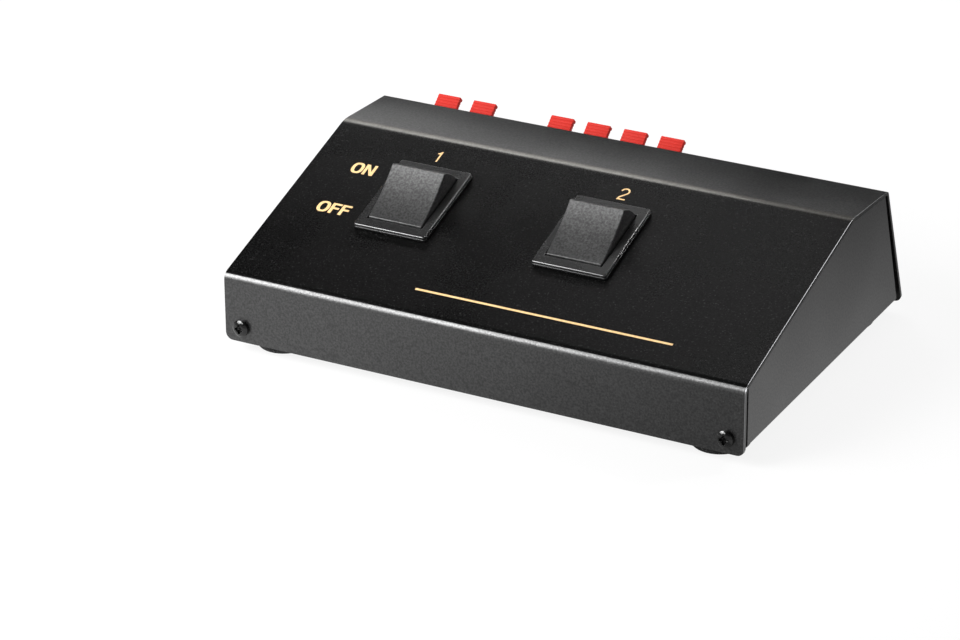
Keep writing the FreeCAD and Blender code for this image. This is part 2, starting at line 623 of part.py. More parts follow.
def lever_pocket():
    """Room for one upper lever, its pins and the wire way in front of it."""
    hx = LEVER_X / 2 + LEVER_GAP
    leg = LEG_OUT + LEG_ROOM
    tools = [
        block(-hx, hx, BAR_HALF_U, TROUGH_END, TROUGH_FLOOR, BAR_TOP + PAST),
        block(-hx, hx, ROW_WALL_HALF, leg, -BLOCK_DEPTH - PAST, FACE_INSIDE),
        block(-hx, hx, LEG_IN - LEG_SLOT, leg, FACE_INSIDE - LEVER_GAP, LEVER_PIN_W),
    ]
    pin = LEVER_X / 2 + LEVER_PIN_LENGTH + LEVER_PIN_END
    tools.append(rod(LEVER_PIN_R + PIN_FIT, 2 * pin, V(-pin, LEVER_PIN_U, LEVER_PIN_W), RIGHT))
    mouth, floor = [
        Part.makePolygon([V(a * x / 2, MOUTH_MID + b * u / 2, z) for a, b in corners])
        for x, u, z in ((MOUTH_X, MOUTH_U, BAR_TOP), (HOLE_X, HOLE_U, FUNNEL_FLOOR))
        for corners in [((-1, -1), (1, -1), (1, 1), (-1, 1), (-1, -1))]
    ]
    tools.append(Part.makeLoft([floor, mouth], True, True))
    hole = rounded(HOLE_X / 2, HOLE_U / 2, HOLE_R, FACE_INSIDE - PAST, FUNNEL_FLOOR)
    hole.translate(V(0, MOUTH_MID, 0))
    return union(tools + [hole])


def terminal_housing(b):
    half = b["half"]
    ears = b["screw"] + EAR_END
    core_x, core_u = half - CORE_STEP, FRAME_HALF - CORE_STEP_U
    adds = [
        rounded(half, FRAME_HALF, FRAME_R, -SHEET - FLANGE_T, FRAME_PROUD),
        rounded(ears, EAR_HALF, FRAME_R, -SHEET - FLANGE_T, -SHEET),
        block(-core_x, core_x, -core_u, core_u, -BLOCK_DEPTH, -SHEET),
    ]
    bar = block(-b["bar"], b["bar"], -BAR_HALF_U, BAR_HALF_U, -SHEET - FLANGE_T / 2, BAR_TOP)
    adds.append(bar.makeFillet(BAR_EDGE_R, [e for e in bar.Edges if e.BoundBox.ZMin > BAR_TOP - 1e-6]))
    shell = union(adds)
    # trough above and below the bar, then the ribs that carry the lever pins
    trough = block(-b["bar"], b["bar"], BAR_HALF_U, TROUGH_END, TROUGH_FLOOR, FRAME_PROUD + PAST)
    shell = cut(shell, both_rows(trough))
    cols = columns(b)
    hx = LEVER_X / 2 + LEVER_GAP
    ends = half - RIB_FROM_END
    edges = [-ends] + [c + s * hx for c in cols for s in (-1, 1)] + [ends]
    ribs = []
    for x0, x1 in zip(edges[::2], edges[1::2]):
        inner, foot = BAR_HALF_U - RIB_SINK / 2, TROUGH_FLOOR - RIB_SINK
        side = [
            (inner, foot),
            (inner, RIB_TOP),
            (RIB_END - RIB_SLOPE_U, RIB_TOP),
            (RIB_END, RIB_TOP - RIB_SLOPE_W),
            (RIB_END, foot),
        ]
        ribs += both_rows(prism(side, x0, x1))
    shell = union([shell] + ribs)
    pocket = lever_pocket()
    tools = []
    for c in cols:
        room = pocket.copy()
        room.translate(V(c, 0, 0))
        tools += both_rows(room)
    for s in (-1, 1):
        at_ear = V(s * b["screw"], 0, -SHEET - FLANGE_T - PAST)
        tools.append(rod(SCREW_R + CUTOUT_GAP, FLANGE_T + 2 * PAST, at_ear, V(0, 0, 1)))
    return cut(shell, tools)


def strip():
    """Contact strip of one upper terminal, with its shoulders and solder lug."""
    hx = STRIP_X / 2
    u0, u1 = STRIP_U, STRIP_U + STRIP_T
    blade = block(-hx, hx, u0, u1, LUG_END, STRIP_TOP)
    wide = hx + SHOULDER
    shoulders = block(-wide, wide, u0, u1, -BLOCK_DEPTH, SHOULDER - BLOCK_DEPTH)
    eye = rod(LUG_EYE_R, STRIP_T + 2 * PAST, V(0, u0 - PAST, LUG_END + LUG_EYE_UP), V(0, 1, 0))
    return union([blade, shoulders]).cut(eye)


def leaf():
    """Return spring of one upper lever: a bowed leaf standing on the back plate."""
    touch = LEG_IN - WIRE_TOUCH
    foot, floor = LEAF_FOOT_U, -BLOCK_DEPTH
    line = [
        (foot, floor),
        (foot, floor + LEAF_RISE),
        (touch - LEAF_BOW, LEG_END - LEAF_TURN),
        (touch, LEG_END + LEAF_PAST),
    ]
    back = [(u - LEAF_T, w) for u, w in reversed(line)]
    blade = prism(line + back, -LEAF_HALF, LEAF_HALF)
    bar = block(-LEAF_FOOT_HALF, LEAF_FOOT_HALF, foot - LEAF_T, foot, floor, floor + LEAF_RISE * 2 / 3)
    return union([blade, bar])


def back_plate(b):
    core_x, core_u = b["half"] - CORE_STEP, FRAME_HALF - CORE_STEP_U
    plate = block(-core_x, core_x, -core_u, core_u, -BLOCK_DEPTH - BACK_T, -BLOCK_DEPTH)
    hx, t = STRIP_X / 2 + THREAD_FIT, THREAD_FIT
    slots = []
    for c in columns(b):
        slot = block(c - hx, c + hx, STRIP_U - t, STRIP_U + STRIP_T + t, -BLOCK_DEPTH - BACK_T - PAST, 0)
        slots += both_rows(slot)
    return cut(plate, slots)


def lever():
    """Upper push lever, leaning out at rest: plate, leg, nose with the wire window, and pins."""
    d = cos(LEVER_LEAN), sin(LEVER_LEAN)
    n = -d[1], d[0]
    root = LEG_IN, LEVER_PIN_W + LEVER_NECK

    def plate(a, h):
        return root[0] + d[0] * a + n[0] * h, root[1] + d[1] * a + n[1] * h

    tip, back = LEVER_PLATE, -LEVER_T
    first = tip - BEAD_LENGTH - RIDGES * RIDGE_PITCH
    face = [plate(0, 0), plate(first, 0)]
    for k in range(RIDGES):
        a = first + k * RIDGE_PITCH
        crest_end = a + RIDGE_FLANK + RIDGE_TOP
        face += [plate(a + RIDGE_FLANK, RIDGE), plate(crest_end, RIDGE), plate(crest_end + RIDGE_FLANK, 0)]
    bead = [
        (-BEAD_LENGTH, 0),
        (0.4 * BEAD - BEAD_LENGTH, 0.9 * BEAD),
        (-0.8 * BEAD, BEAD),
        (0, 0.2 * BEAD),
        (0, back - 0.2 * BEAD),
        (-0.8 * BEAD, back - BEAD),
        (-2 * BEAD, back),
    ]
    face += [plate(tip + a, h) for a, h in bead]
    meet = (LEG_OUT - plate(0, -LEVER_T)[0]) / d[0]
    face.append(plate(meet, -LEVER_T))
    outline = (
        [(LEG_IN, LEG_END), (LEG_IN, NOSE_LOW + NOSE_FLARE), (NOSE_IN, NOSE_LOW)]
        + [(NOSE_IN, NOSE_HIGH), (LEG_IN, NOSE_HIGH + NOSE_FLARE)]
        + face
        + [(LEG_OUT, LEG_END)]
    )
    body = prism(outline, -LEVER_X / 2, LEVER_X / 2)
    low, high = NOSE_LOW - PAST, NOSE_HIGH + NOSE_FLARE
    window = block(-WINDOW_X / 2, WINDOW_X / 2, WINDOW_IN, WINDOW_OUT, low, high)
    reach = LEVER_X / 2 + LEVER_PIN_LENGTH
    pin = rod(LEVER_PIN_R, 2 * reach, V(-reach, LEVER_PIN_U, LEVER_PIN_W), RIGHT)
    return union([body.cut(window), pin])


# ---- hook-up wires ----------------------------------------------------------------


def cable(name, points, bend=WIRE_BEND):
    """Round wire along straight runs joined by tangent arcs."""
    edges, here = [], points[0]
    for before, corner, after in zip(points, points[1:], points[2:]):
        a, c = (before - corner).normalize(), (after - corner).normalize()
        half = math.acos(max(-1.0, min(1.0, a.dot(c)))) / 2
        trim = bend / math.tan(half)
        middle = corner + (a + c).normalize() * (bend / math.sin(half) - bend)
        edges.append(Part.LineSegment(here, corner + a * trim).toShape())
        edges.append(Part.Arc(corner + a * trim, middle, corner + c * trim).toShape())
        here = corner + c * trim
    edges.append(Part.LineSegment(here, points[-1]).toShape())
    path = Part.Wire(edges)
    start = (points[1] - points[0]).normalize()
    section = Part.Wire([Part.Circle(points[0], start, WIRE_R).toShape()])
    solid = path.makePipeShell([section], True, False)
    ideal = math.pi * WIRE_R**2 * path.Length
    ratio = round(solid.Volume / ideal, 4)
    print(name, "bend radius", bend, "length", round(path.Length, 1), "volume ratio", ratio)
    return solid


def blade_point(switch, pole, v, w):
    return SWITCHES[switch].multVec(V(pole * POLE_X, v, w))


def lug_point(block_name, column, u, w):
    return BLOCK_FRAMES[block_name].multVec(V(columns(BLOCKS[block_name])[column], u, w))


def from_blade(switch, pole, v, side):
    """Wire end along one face of a blade and the way it points down."""
    off = v + side * (BLADE_T / 2 + WIRE_R + WIRE_TOUCH)
    return [blade_point(switch, pole, off, BLADE_END + reach) for reach in (4.5, -1.0)]


def from_lug(block_name, column, row, side, run):
    """Wire end along one face of a solder lug, then straight in."""
    u = row * (STRIP_U + STRIP_T / 2 + side * (STRIP_T / 2 + WIRE_R + WIRE_TOUCH))
    return [lug_point(block_name, column, u, LUG_END + reach) for reach in (4.0, -run)]


def wire_to_lug(name, blade_end, lug_end, lane, low_z):
    """Down from a blade, back along the floor, up, across in its own lane, and in to a lug."""
    (b0, b1), (l0, l1) = blade_end, lug_end
    lane_y, lane_z = lane
    low_z += PLATE_TOP
    fall = b1 - b0
    down = b0 + fall * ((b0.z - low_z) / -fall.z)
    across = [V(b1.x, lane_y, lane_z), V(l1.x, lane_y, lane_z)]
    return cable(name, [b0, down, V(b1.x, lane_y, low_z)] + across + [l1, l0])


def wire_between_lugs(name, first, second, lane):
    """In from one lug, down, across under the blocks and up to the other."""
    (a0, a1), (b0, b1) = first, second
    lug = lug_point("speaker", 0, -STRIP_U, LUG_END)
    low = lug.y - lane[0], PLATE_TOP + lane[1]
    return cable(name, [a0, a1, V(a1.x, *low), V(b1.x, *low), b1, b0])


def upper_lane(k):
    """Lanes that step up towards the front, so that no wire crosses another."""
    body = SWITCHES["switch_1"].multVec(V(0, BODY_Y / 2, -BODY_DEPTH))
    return body.y + LANE_GAP + LANE_STEP_Y * (LANES - 1 - k), PLATE_TOP + LANE_RISE + LANE_STEP_Z * k


def hook_up_wires():
    out = {}
    # the right pole of each switch and the first column of each pair carry the right channel
    for k, side in enumerate(("right", "left")):
        pole = 1 if side == "right" else -1
        feeds = []
        for n, switch in enumerate(SWITCHES):
            lug = from_lug("amplifier", k, 1, 2 * n - 1, 3.5)
            blade = from_blade(switch, pole, 0.0, 1)
            feeds.append(wire_to_lug("feed", blade, lug, upper_lane(2 + k + 2 * n), FEED_RISE))
            lug = from_lug("speaker", 2 - 2 * n + k, 1, 1, 3.5)
            blade = from_blade(switch, pole, LOAD_V, 1)
            load = wire_to_lug("load", blade, lug, upper_lane(k), LOAD_RISE)
            out.setdefault(switch + "_output_wires", []).append(load)
        out[side + "_feed_wires"] = feeds
        near, far = 2 + k, k
        amp = from_lug("amplifier", k, -1, 1, 2.5)
        one = wire_between_lugs("return", amp, from_lug("speaker", near, -1, 1, 2.5), LOW_LANES[k][0])
        start = from_lug("speaker", near, -1, -1, 4.0)
        two = wire_between_lugs("return", start, from_lug("speaker", far, -1, -1, 4.0), LOW_LANES[k][1])
        out[side + "_return_wires"] = [one, two]
    return {name: Part.makeCompound(wires) for name, wires in out.items()}


PARTS = {"cover": cover(), "chassis": chassis(), "feet": feet()}
PARTS["cover_screws"] = Part.makeCompound([placed(pan_screw(COVER_SCREW_LENGTH), f) for f in COVER_SCREWS])
PARTS["terminal_screws"] = Part.makeCompound(
    [placed(pan_screw(BLOCK_SCREW_LENGTH), f) for f in BLOCK_SCREWS]
)
PARTS["terminal_nuts"] = Part.makeCompound(
    [placed(nut(), at(f, 0, 0, -SHEET - FLANGE_T)) for f in BLOCK_SCREWS]
)
for part_name, make in SWITCH_PARTS.items():
    shape = make()
    for switch_name, place in SWITCHES.items():
        PARTS[switch_name + "_" + part_name] = placed(shape, place)

LEVER = lever()
STRIP = strip()
LEAF = leaf()
CHANNELS = {"amplifier": ("amplifier",), "speaker": ("speaker_2", "speaker_1")}
for block_name, b in BLOCKS.items():
    base = BLOCK_FRAMES[block_name]
    PARTS[block_name + "_terminal_housing"] = placed(terminal_housing(b), base)
    PARTS[block_name + "_terminal_back"] = placed(back_plate(b), base)
    groups = {"contact_strips": STRIP, "return_springs": LEAF}
    for group_name, one in groups.items():
        copies = []
        for c in columns(b):
            moved = one.copy()
            moved.translate(V(c, 0, 0))
            copies += [placed(s, base) for s in both_rows(moved)]
        PARTS[block_name + "_" + group_name] = Part.makeCompound(copies)
    names = [n + side for n in CHANNELS[block_name] for side in ("_right", "_left")]
    for channel, c in zip(names, columns(b)):
        moved = LEVER.copy()
        moved.translate(V(c, 0, 0))
        for sign, s in zip(("_plus", "_minus"), both_rows(moved)):
            PARTS[channel + sign + "_lever"] = placed(s, base)

PARTS.update(hook_up_wires())

for node, shape in PARTS.items():
    shape.exportStep("parts/" + node + ".step")
    box = shape.BoundBox
    print(
        node,
        len(shape.Solids),
        "valid" if shape.isValid() else "INVALID",
        "y %.2f %.2f z %.2f %.2f" % (box.YMin, box.YMax, box.ZMin, box.ZMax),
    )
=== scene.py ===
import json
import math

import bmesh
import bpy
import numpy as np
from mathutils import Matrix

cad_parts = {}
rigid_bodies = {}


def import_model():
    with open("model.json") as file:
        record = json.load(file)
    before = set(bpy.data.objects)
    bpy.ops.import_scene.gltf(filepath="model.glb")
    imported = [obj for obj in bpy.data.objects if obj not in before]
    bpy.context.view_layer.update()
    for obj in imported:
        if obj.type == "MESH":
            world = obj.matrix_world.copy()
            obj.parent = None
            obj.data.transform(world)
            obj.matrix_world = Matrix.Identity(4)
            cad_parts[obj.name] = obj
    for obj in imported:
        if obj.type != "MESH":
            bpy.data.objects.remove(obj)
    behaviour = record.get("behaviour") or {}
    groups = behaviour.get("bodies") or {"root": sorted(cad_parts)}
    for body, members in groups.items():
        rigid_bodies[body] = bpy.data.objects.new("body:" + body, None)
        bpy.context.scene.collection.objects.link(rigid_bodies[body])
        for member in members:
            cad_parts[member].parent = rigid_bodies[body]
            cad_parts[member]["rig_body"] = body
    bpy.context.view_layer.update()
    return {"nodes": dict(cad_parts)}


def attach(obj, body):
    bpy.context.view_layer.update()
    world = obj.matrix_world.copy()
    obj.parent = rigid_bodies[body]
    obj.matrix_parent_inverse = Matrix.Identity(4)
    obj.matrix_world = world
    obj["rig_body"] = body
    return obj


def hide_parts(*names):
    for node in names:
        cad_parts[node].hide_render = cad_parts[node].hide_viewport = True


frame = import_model()
nodes = frame["nodes"]
mm = 0.001

# ---- the case's own planes, in mm, as the metal is folded

case = {
    "width": 180.0,
    "frontFoot": (-61.2, 4.0),  # y, z of the front flap's lower edge
    "frontLean": 3.7,
    "frontLength": 21.96,
    "slopeAngle": 16.85,
    "slopeLength": 78.0,
    "ledgeDip": 3.85,
    "ledgeLength": 26.1,
    "rearLean": 15.4,
    "foldRadius": 2.5,  # as folded in the CAD
    "frontFoldRadius": 3.3,
    "topFoldRadius": 11.0,
    "plateBottom": 6.0,
    "sideFoldRadius": 2.0,
    "sideFoldTight": 1.15,
}


def unit(angle):
    a = math.radians(angle)
    return math.cos(a), math.sin(a)


def caseCorners(s):
    # each fold is the last one plus its panel's length along the panel's own angle
    y1, z1 = s["frontFoot"]
    c, d = unit(s["frontLean"])
    y2, z2 = y1 + s["frontLength"] * d, z1 + s["frontLength"] * c
    c, d = unit(s["slopeAngle"])
    y3, z3 = y2 + s["slopeLength"] * c, z2 + s["slopeLength"] * d
    c, d = unit(s["ledgeDip"])
    y4, z4 = y3 + s["ledgeLength"] * c, z3 - s["ledgeLength"] * d
    y5 = y4 + (z4 - z1) * math.tan(math.radians(s["rearLean"]))
    return (y1, z1), (y2, z2), (y3, z3), (y4, z4), (y5, z1)


corners = caseCorners(case)


def panelFrame(corner, across, up, out):
    # a plane's frame: its origin and three unit arrows, in mm
    return np.array([0.0, *corner]), np.array(across, float), np.array(up, float), np.array(out, float)


c, d = unit(case["slopeAngle"])
slopePanel = panelFrame(corners[1], (1, 0, 0), (0, c, d), (0, -d, c))
c, d = unit(case["rearLean"])
rearPanel = panelFrame(corners[4], (-1, 0, 0), (0, -d, c), (0, c, d))


def onPanel(panel, across, up, out):
    # point = origin + across * right arrow + up * up arrow + out * outward arrow, then metres
    origin, ex, ey, ez = panel
    a, b, c = np.broadcast_arrays(across, up, out)
    return (origin + a[..., None] * ex + b[..., None] * ey + c[..., None] * ez) * mm


# ---- node helpers


class Tree:
    # short hands for wiring a node tree
    def __init__(self, tree):
        self.tree = tree

    def add(self, kind, **values):
        node = self.tree.nodes.new(kind)
        for key, value in values.items():
            setattr(node, key, value)
        return node

    def join(self, source, target):
        self.tree.links.new(source, target)

    def noise(self, vector, scale, detail=2.0, roughness=0.5):
        node = self.add("ShaderNodeTexNoise")
        self.join(vector, node.inputs["Vector"])
        if hasattr(scale, "node"):
            self.join(scale, node.inputs["Scale"])
        else:
            node.inputs["Scale"].default_value = scale
        node.inputs["Detail"].default_value = detail
        node.inputs["Roughness"].default_value = roughness
        return node.outputs["Fac"]

    def math(self, kind, a, b=0.0, clamp=False):
        node = self.add("ShaderNodeMath", operation=kind, use_clamp=clamp)
        for k, value in enumerate((a, b)):
            if hasattr(value, "node"):
                self.join(value, node.inputs[k])
            else:
                node.inputs[k].default_value = value
        return node.outputs[0]

    def ramp(self, value, low, high, toLow=0.0, toHigh=1.0, smooth=True):
        node = self.add("ShaderNodeMapRange", clamp=True)
        node.interpolation_type = "SMOOTHSTEP" if smooth else "LINEAR"
        self.join(value, node.inputs["Value"])
        for name, number in (("From Min", low), ("From Max", high), ("To Min", toLow), ("To Max", toHigh)):
            if hasattr(number, "node"):
                self.join(number, node.inputs[name])
            else:
                node.inputs[name].default_value = number
        return node.outputs["Result"]

    def mix(self, factor, first, second):
        node = self.add("ShaderNodeMix", data_type="RGBA")
        for socket, value in ((node.inputs[0], factor), (node.inputs[6], first), (node.inputs[7], second)):
            if hasattr(value, "node"):
                self.join(value, socket)
            else:
                socket.default_value = value
        return node.outputs[2]


def newGroup(name, inputs, outputs):
    tree = bpy.data.node_groups.new(name, "ShaderNodeTree")
    kinds = {"number": "NodeSocketFloat", "colour": "NodeSocketColor", "vector": "NodeSocketVector"}
    for label, kind, value in inputs:
        socket = tree.interface.new_socket(label, in_out="INPUT", socket_type=kinds[kind])
        socket.default_value = value
    for label, kind in outputs:
        tree.interface.new_socket(label, in_out="OUTPUT", socket_type=kinds[kind])
    t = Tree(tree)
    return t, t.add("NodeGroupInput"), t.add("NodeGroupOutput")


def buildGrain():
    # fine speckle over slow clouds: colour = base mixed with fleck where fine noise is high,
    # roughness = its middle plus the clouds, height = fine noise plus a softer, wider one
    t, into, out = newGroup(
        "fineGrain",
        [
            ("Base", "colour", (0.02, 0.02, 0.02, 1)),
            ("Fleck", "colour", (0.05, 0.05, 0.05, 1)),
            ("Fleck Share", "number", 0.4),
            ("Grain Scale", "number", 2500.0),
            ("Cloud Scale", "number", 60.0),
            ("Roughness Low", "number", 0.35),
            ("Roughness High", "number", 0.45),
        ],
        [("Colour", "colour"), ("Roughness", "number"), ("Height", "number")],
    )
    place = t.add("ShaderNodeTexCoord").outputs["Object"]
    fine = t.noise(place, into.outputs["Grain Scale"], 3.0, 0.6)
    wide = t.noise(place, t.math("MULTIPLY", into.outputs["Grain Scale"], 0.31), 2.0)
    cloud = t.noise(place, into.outputs["Cloud Scale"], 2.0)
    threshold = t.math("SUBTRACT", 0.78, t.math("MULTIPLY", into.outputs["Fleck Share"], 0.4))
    fleck = t.ramp(fine, threshold, t.math("ADD", threshold, 0.12))
    clouded = t.math("MULTIPLY", fleck, t.ramp(cloud, 0.3, 0.7, 0.7, 1.0))
    t.join(t.mix(clouded, into.outputs["Base"], into.outputs["Fleck"]), out.inputs["Colour"])
    rough = t.math("ADD", t.math("MULTIPLY", cloud, 0.7), t.math("MULTIPLY", fine, 0.3))
    t.join(
        t.ramp(rough, 0.35, 0.65, into.outputs["Roughness Low"], into.outputs["Roughness High"]),
        out.inputs["Roughness"],
    )
    height = t.math("ADD", t.math("MULTIPLY", fine, 0.6), t.math("MULTIPLY", wide, 0.4))
    t.join(height, out.inputs["Height"])
    return t.tree


grainGroup = buildGrain()


def addGrain(t, s):
    grain = t.add("ShaderNodeGroup")
    grain.node_tree = grainGroup
    grain.inputs["Base"].default_value = (*s["base"], 1)
    grain.inputs["Fleck"].default_value = (*s["fleck"], 1)
    grain.inputs["Fleck Share"].default_value = s.get("share", 0.4)
    grain.inputs["Grain Scale"].default_value = s["grain"]
    grain.inputs["Cloud Scale"].default_value = s.get("cloud", 60.0)
    grain.inputs["Roughness Low"].default_value = s["rough"][0]
    grain.inputs["Roughness High"].default_value = s["rough"][1]
    return grain


def grainMaterial(name, s):
    # a Principled surface fed by the shared grain, with its own colours and scales
    mat = bpy.data.materials.new(name)
    mat.use_nodes = True
    t = Tree(mat.node_tree)
    shader = mat.node_tree.nodes["Principled BSDF"]
    shader.inputs["Metallic"].default_value = s.get("metallic", 0.0)
    shader.inputs["Specular IOR Level"].default_value = s.get("specular", 0.5)
    shader.inputs["Coat Weight"].default_value = s.get("coat", 0.0)
    shader.inputs["Coat Roughness"].default_value = s.get("coatRoughness", 0.1)
    grain = addGrain(t, s)
    bump = t.add("ShaderNodeBump")
    bump.inputs["Strength"].default_value = s.get("bump", 0.3)
    bump.inputs["Distance"].default_value = s.get("depth", 0.00003)
    t.join(grain.outputs["Height"], bump.inputs["Height"])
    t.join(grain.outputs["Roughness"], shader.inputs["Roughness"])
    t.join(bump.outputs["Normal"], shader.inputs["Normal"])
    if "glint" in s:
        # the shine differs from speck to speck, up and down by the share called glint
        speck = t.noise(t.add("ShaderNodeTexCoord").outputs["Object"], s["glintScale"], 2.0, 0.6)
        low, high = s["specular"] * (1 - s["glint"]), s["specular"] * (1 + s["glint"])
        t.join(t.ramp(speck, 0.3, 0.7, low, high), shader.inputs["Specular IOR Level"])
    return mat, t, grain, shader


def plainGrain(name, **s):
    mat, t, grain, shader = grainMaterial(name, s)
    t.join(grain.outputs["Colour"], shader.inputs["Base Color"])
    return mat


paint = {
    "base": (0.0050, 0.0050, 0.0051),
    "fleck": (0.030, 0.0300, 0.0301),
    "share": 0.5,
    "grain": 1900.0,
    "cloud": 25.0,
    "rough": (0.30, 0.37),
    "bump": 0.5,
    "depth": 0.00003,
    "specular": 0.8,
    "glint": 0.24,
    "glintScale": 1500.0,
}
panelInk = {
    "black": (0.0024, 0.0024, 0.0024),
    "blackFleck": (0.0215, 0.0214, 0.0213),
    "blackGrain": 0.8,  # its grain's scale beside the paint's
    "start": (0.72, 1.02),  # mm up from the front fold's corner, where the black fades in
    "skin": 0.7,  # mm of the sheet's outside that counts as printed
    "fade": (-1.6, 0.3),  # mm past the top fold's corner, where the black fades out
    "warm": (1.0, 0.955, 0.85),  # painted tint of the highlight along the top fold
    "warmFrom": (-2.2, -1.2),
    "warmTo": (0.8, 2.4),
    "inkMatt": -0.05,
    "inkSpecular": 0.05,
    "bow": 5.7,  # degrees
    "rise": 2.0,  # mm behind the top fold's corner, where the bow is steepest
    "paintedGlintMetal": (0.34, 0.34, 0.35),  # painted highlight: bare-metal colour along the right-hand edges only, where light from the back right glints
    "paintedGlintFrom": (89.72, 89.80),  # mm from the middle of the case
    "paintedGlintTo": (89.94, 89.98),
    "paintedGlintEnd": 1.0,  # mm short of the rear fold
}


def fromFold(t, corner, angle):
    # a point's place seen from a fold: its own x, how far it lies along the panel behind the fold,
    # and how far out of that panel, each a sum of y and z times the panel's cosine and sine
    split = t.add("ShaderNodeSeparateXYZ")
    t.join(t.add("ShaderNodeTexCoord").outputs["Object"], split.inputs[0])
    y = t.math("SUBTRACT", split.outputs["Y"], corner[0] * mm)
    z = t.math("SUBTRACT", split.outputs["Z"], corner[1] * mm)
    c, d = unit(angle)
    along = t.math("ADD", t.math("MULTIPLY", y, c), t.math("MULTIPLY", z, d))
    above = t.math("SUBTRACT", t.math("MULTIPLY", z, c), t.math("MULTIPLY", y, d))
    return split.outputs["X"], along, above


def caseBlackMaterial(s):
    # the case's paint, with the sloping panel printed black from bend to bend:
    # printed where a point lies between the panel's folds and not below its outer skin
    mat, t, grain, shader = grainMaterial("satinPaintBlackPanel", s)
    x, along, above = fromFold(t, corners[1], case["slopeAngle"])
    start, full = (v * mm for v in s["start"])
    low = t.ramp(along, start, full)
    top = case["slopeLength"] * mm
    fade, end = (top + v * mm for v in s["fade"])
    high = t.ramp(along, fade, end, 1.0, 0.0)
    outer = t.math("GREATER_THAN", above, -s["skin"] * mm)
    printed = t.math("MULTIPLY", t.math("MULTIPLY", low, high), outer)
    finer = s["grain"] * s["blackGrain"]
    second = addGrain(t, {**s, "base": s["black"], "fleck": s["blackFleck"], "grain": finer})
    # painted highlight: the rolled rim of the right-hand cut side turns bare metal, a band just short of
    # half the width
    _, back, _ = fromFold(t, corners[2], -case["ledgeDip"])
    start, full = (v * mm for v in s["paintedGlintFrom"])
    fade, end = (v * mm for v in s["paintedGlintTo"])
    rim = t.math("MULTIPLY", t.ramp(x, start, full), t.ramp(x, fade, end, 1.0, 0.0))
    last = (case["ledgeLength"] - s["paintedGlintEnd"]) * mm
    rim = t.math("MULTIPLY", rim, t.ramp(back, last - mm, last, 1.0, 0.0))
    t.join(rim, shader.inputs["Metallic"])
    inked = t.mix(printed, grain.outputs["Colour"], second.outputs["Colour"])
    t.join(t.mix(rim, inked, (*s["paintedGlintMetal"], 1)), shader.inputs["Base Color"])
    # the ledge behind the fold bows a little: its slope grows over the fold's last part and then
    # falls as a square to nothing at the back, so its height is a square rising, then a cube falling
    rise, run = s["rise"] * mm, (case["ledgeLength"] - s["rise"]) * mm
    near = t.ramp(back, 0.0, rise, 0.0, rise, smooth=False)
    far = t.ramp(back, rise, rise + run, 0.0, run, smooth=False)
    height = t.math("MULTIPLY", t.math("MULTIPLY", near, near), 0.5 / rise)
    fall = t.math("MULTIPLY", t.math("MULTIPLY", far, far), t.math("MULTIPLY", far, run**-2 / 3))
    height = t.math("ADD", height, t.math("SUBTRACT", far, fall))
    bow = t.add("ShaderNodeBump")
    bow.inputs["Strength"].default_value = 1.0
    bow.inputs["Distance"].default_value = math.radians(s["bow"])
    t.join(height, bow.inputs["Height"])
    grained = shader.inputs["Normal"].links[0].from_node
    t.join(bow.outputs["Normal"], grained.inputs["Normal"])
    ink = t.math("MULTIPLY", printed, s["inkMatt"])
    t.join(t.math("ADD", grain.outputs["Roughness"], ink), shader.inputs["Roughness"])
    shine = shader.inputs["Specular IOR Level"].links[0].from_socket
    dulled = t.ramp(printed, 0.0, 1.0, 1.0, s["inkSpecular"] / s["specular"])
    t.join(t.math("MULTIPLY", shine, dulled), shader.inputs["Specular IOR Level"])
    # painted highlight: the shine along the top fold is tinted a little warmer than on the panels beside it
    start, full = (top + v * mm for v in s["warmFrom"])
    fade, end = (v * mm for v in s["warmTo"])
    fold = t.math("MULTIPLY", t.ramp(along, start, full), t.ramp(back, fade, end, 1.0, 0.0))
    t.join(t.mix(fold, (1, 1, 1, 1), (*s["warm"], 1)), shader.inputs["Specular Tint"])
    return mat


casePaint = caseBlackMaterial({**paint, **panelInk})
chassisPaint = plainGrain("satinPaint", **paint)
switchPaint = {
    "base": (0.010, 0.010, 0.0101),
    "fleck": (0.021, 0.021, 0.0212),
    "share": 0.5,
    "grain": 2000.0,
    "cloud": 60.0,
    "rough": (0.25, 0.30),
    "bump": 0.03,
    "depth": 0.00002,
    "specular": 0.4,
}
switchPlastic = plainGrain("switchMouldedBlack", **switchPaint)
bezelShine = {
    "flat": 0.17,  # the top face's shine, duller than the painted highlight on its rolls and walls
    "rolled": 1.0,
    "rollEnd": (1.95, 1.985),  # mm over the slope
    # the foot's dimmer shine is painted shade under the bezel's step
    "foot": 0.4,
    "footEnd": (1.0, 1.2),
}


def bezelMaterial(s):
    # the housings' plastic, its shine set by height over the slope: painted shade on the foot, a painted
    # highlight on the rim and walls, a dull top
    mat, t, grain, shader = grainMaterial("bezelMouldedBlack", s)
    t.join(grain.outputs["Colour"], shader.inputs["Base Color"])
    _, _, above = fromFold(t, corners[1], case["slopeAngle"])
    start, end = (v * mm for v in s["footEnd"])
    foot = t.ramp(above, start, end, s["foot"], 1.0)
    start, end = (v * mm for v in s["rollEnd"])
    shine = t.math("MULTIPLY", t.ramp(above, start, end, s["rolled"], s["flat"]), foot)
    t.join(shine, shader.inputs["Specular IOR Level"])
    return mat


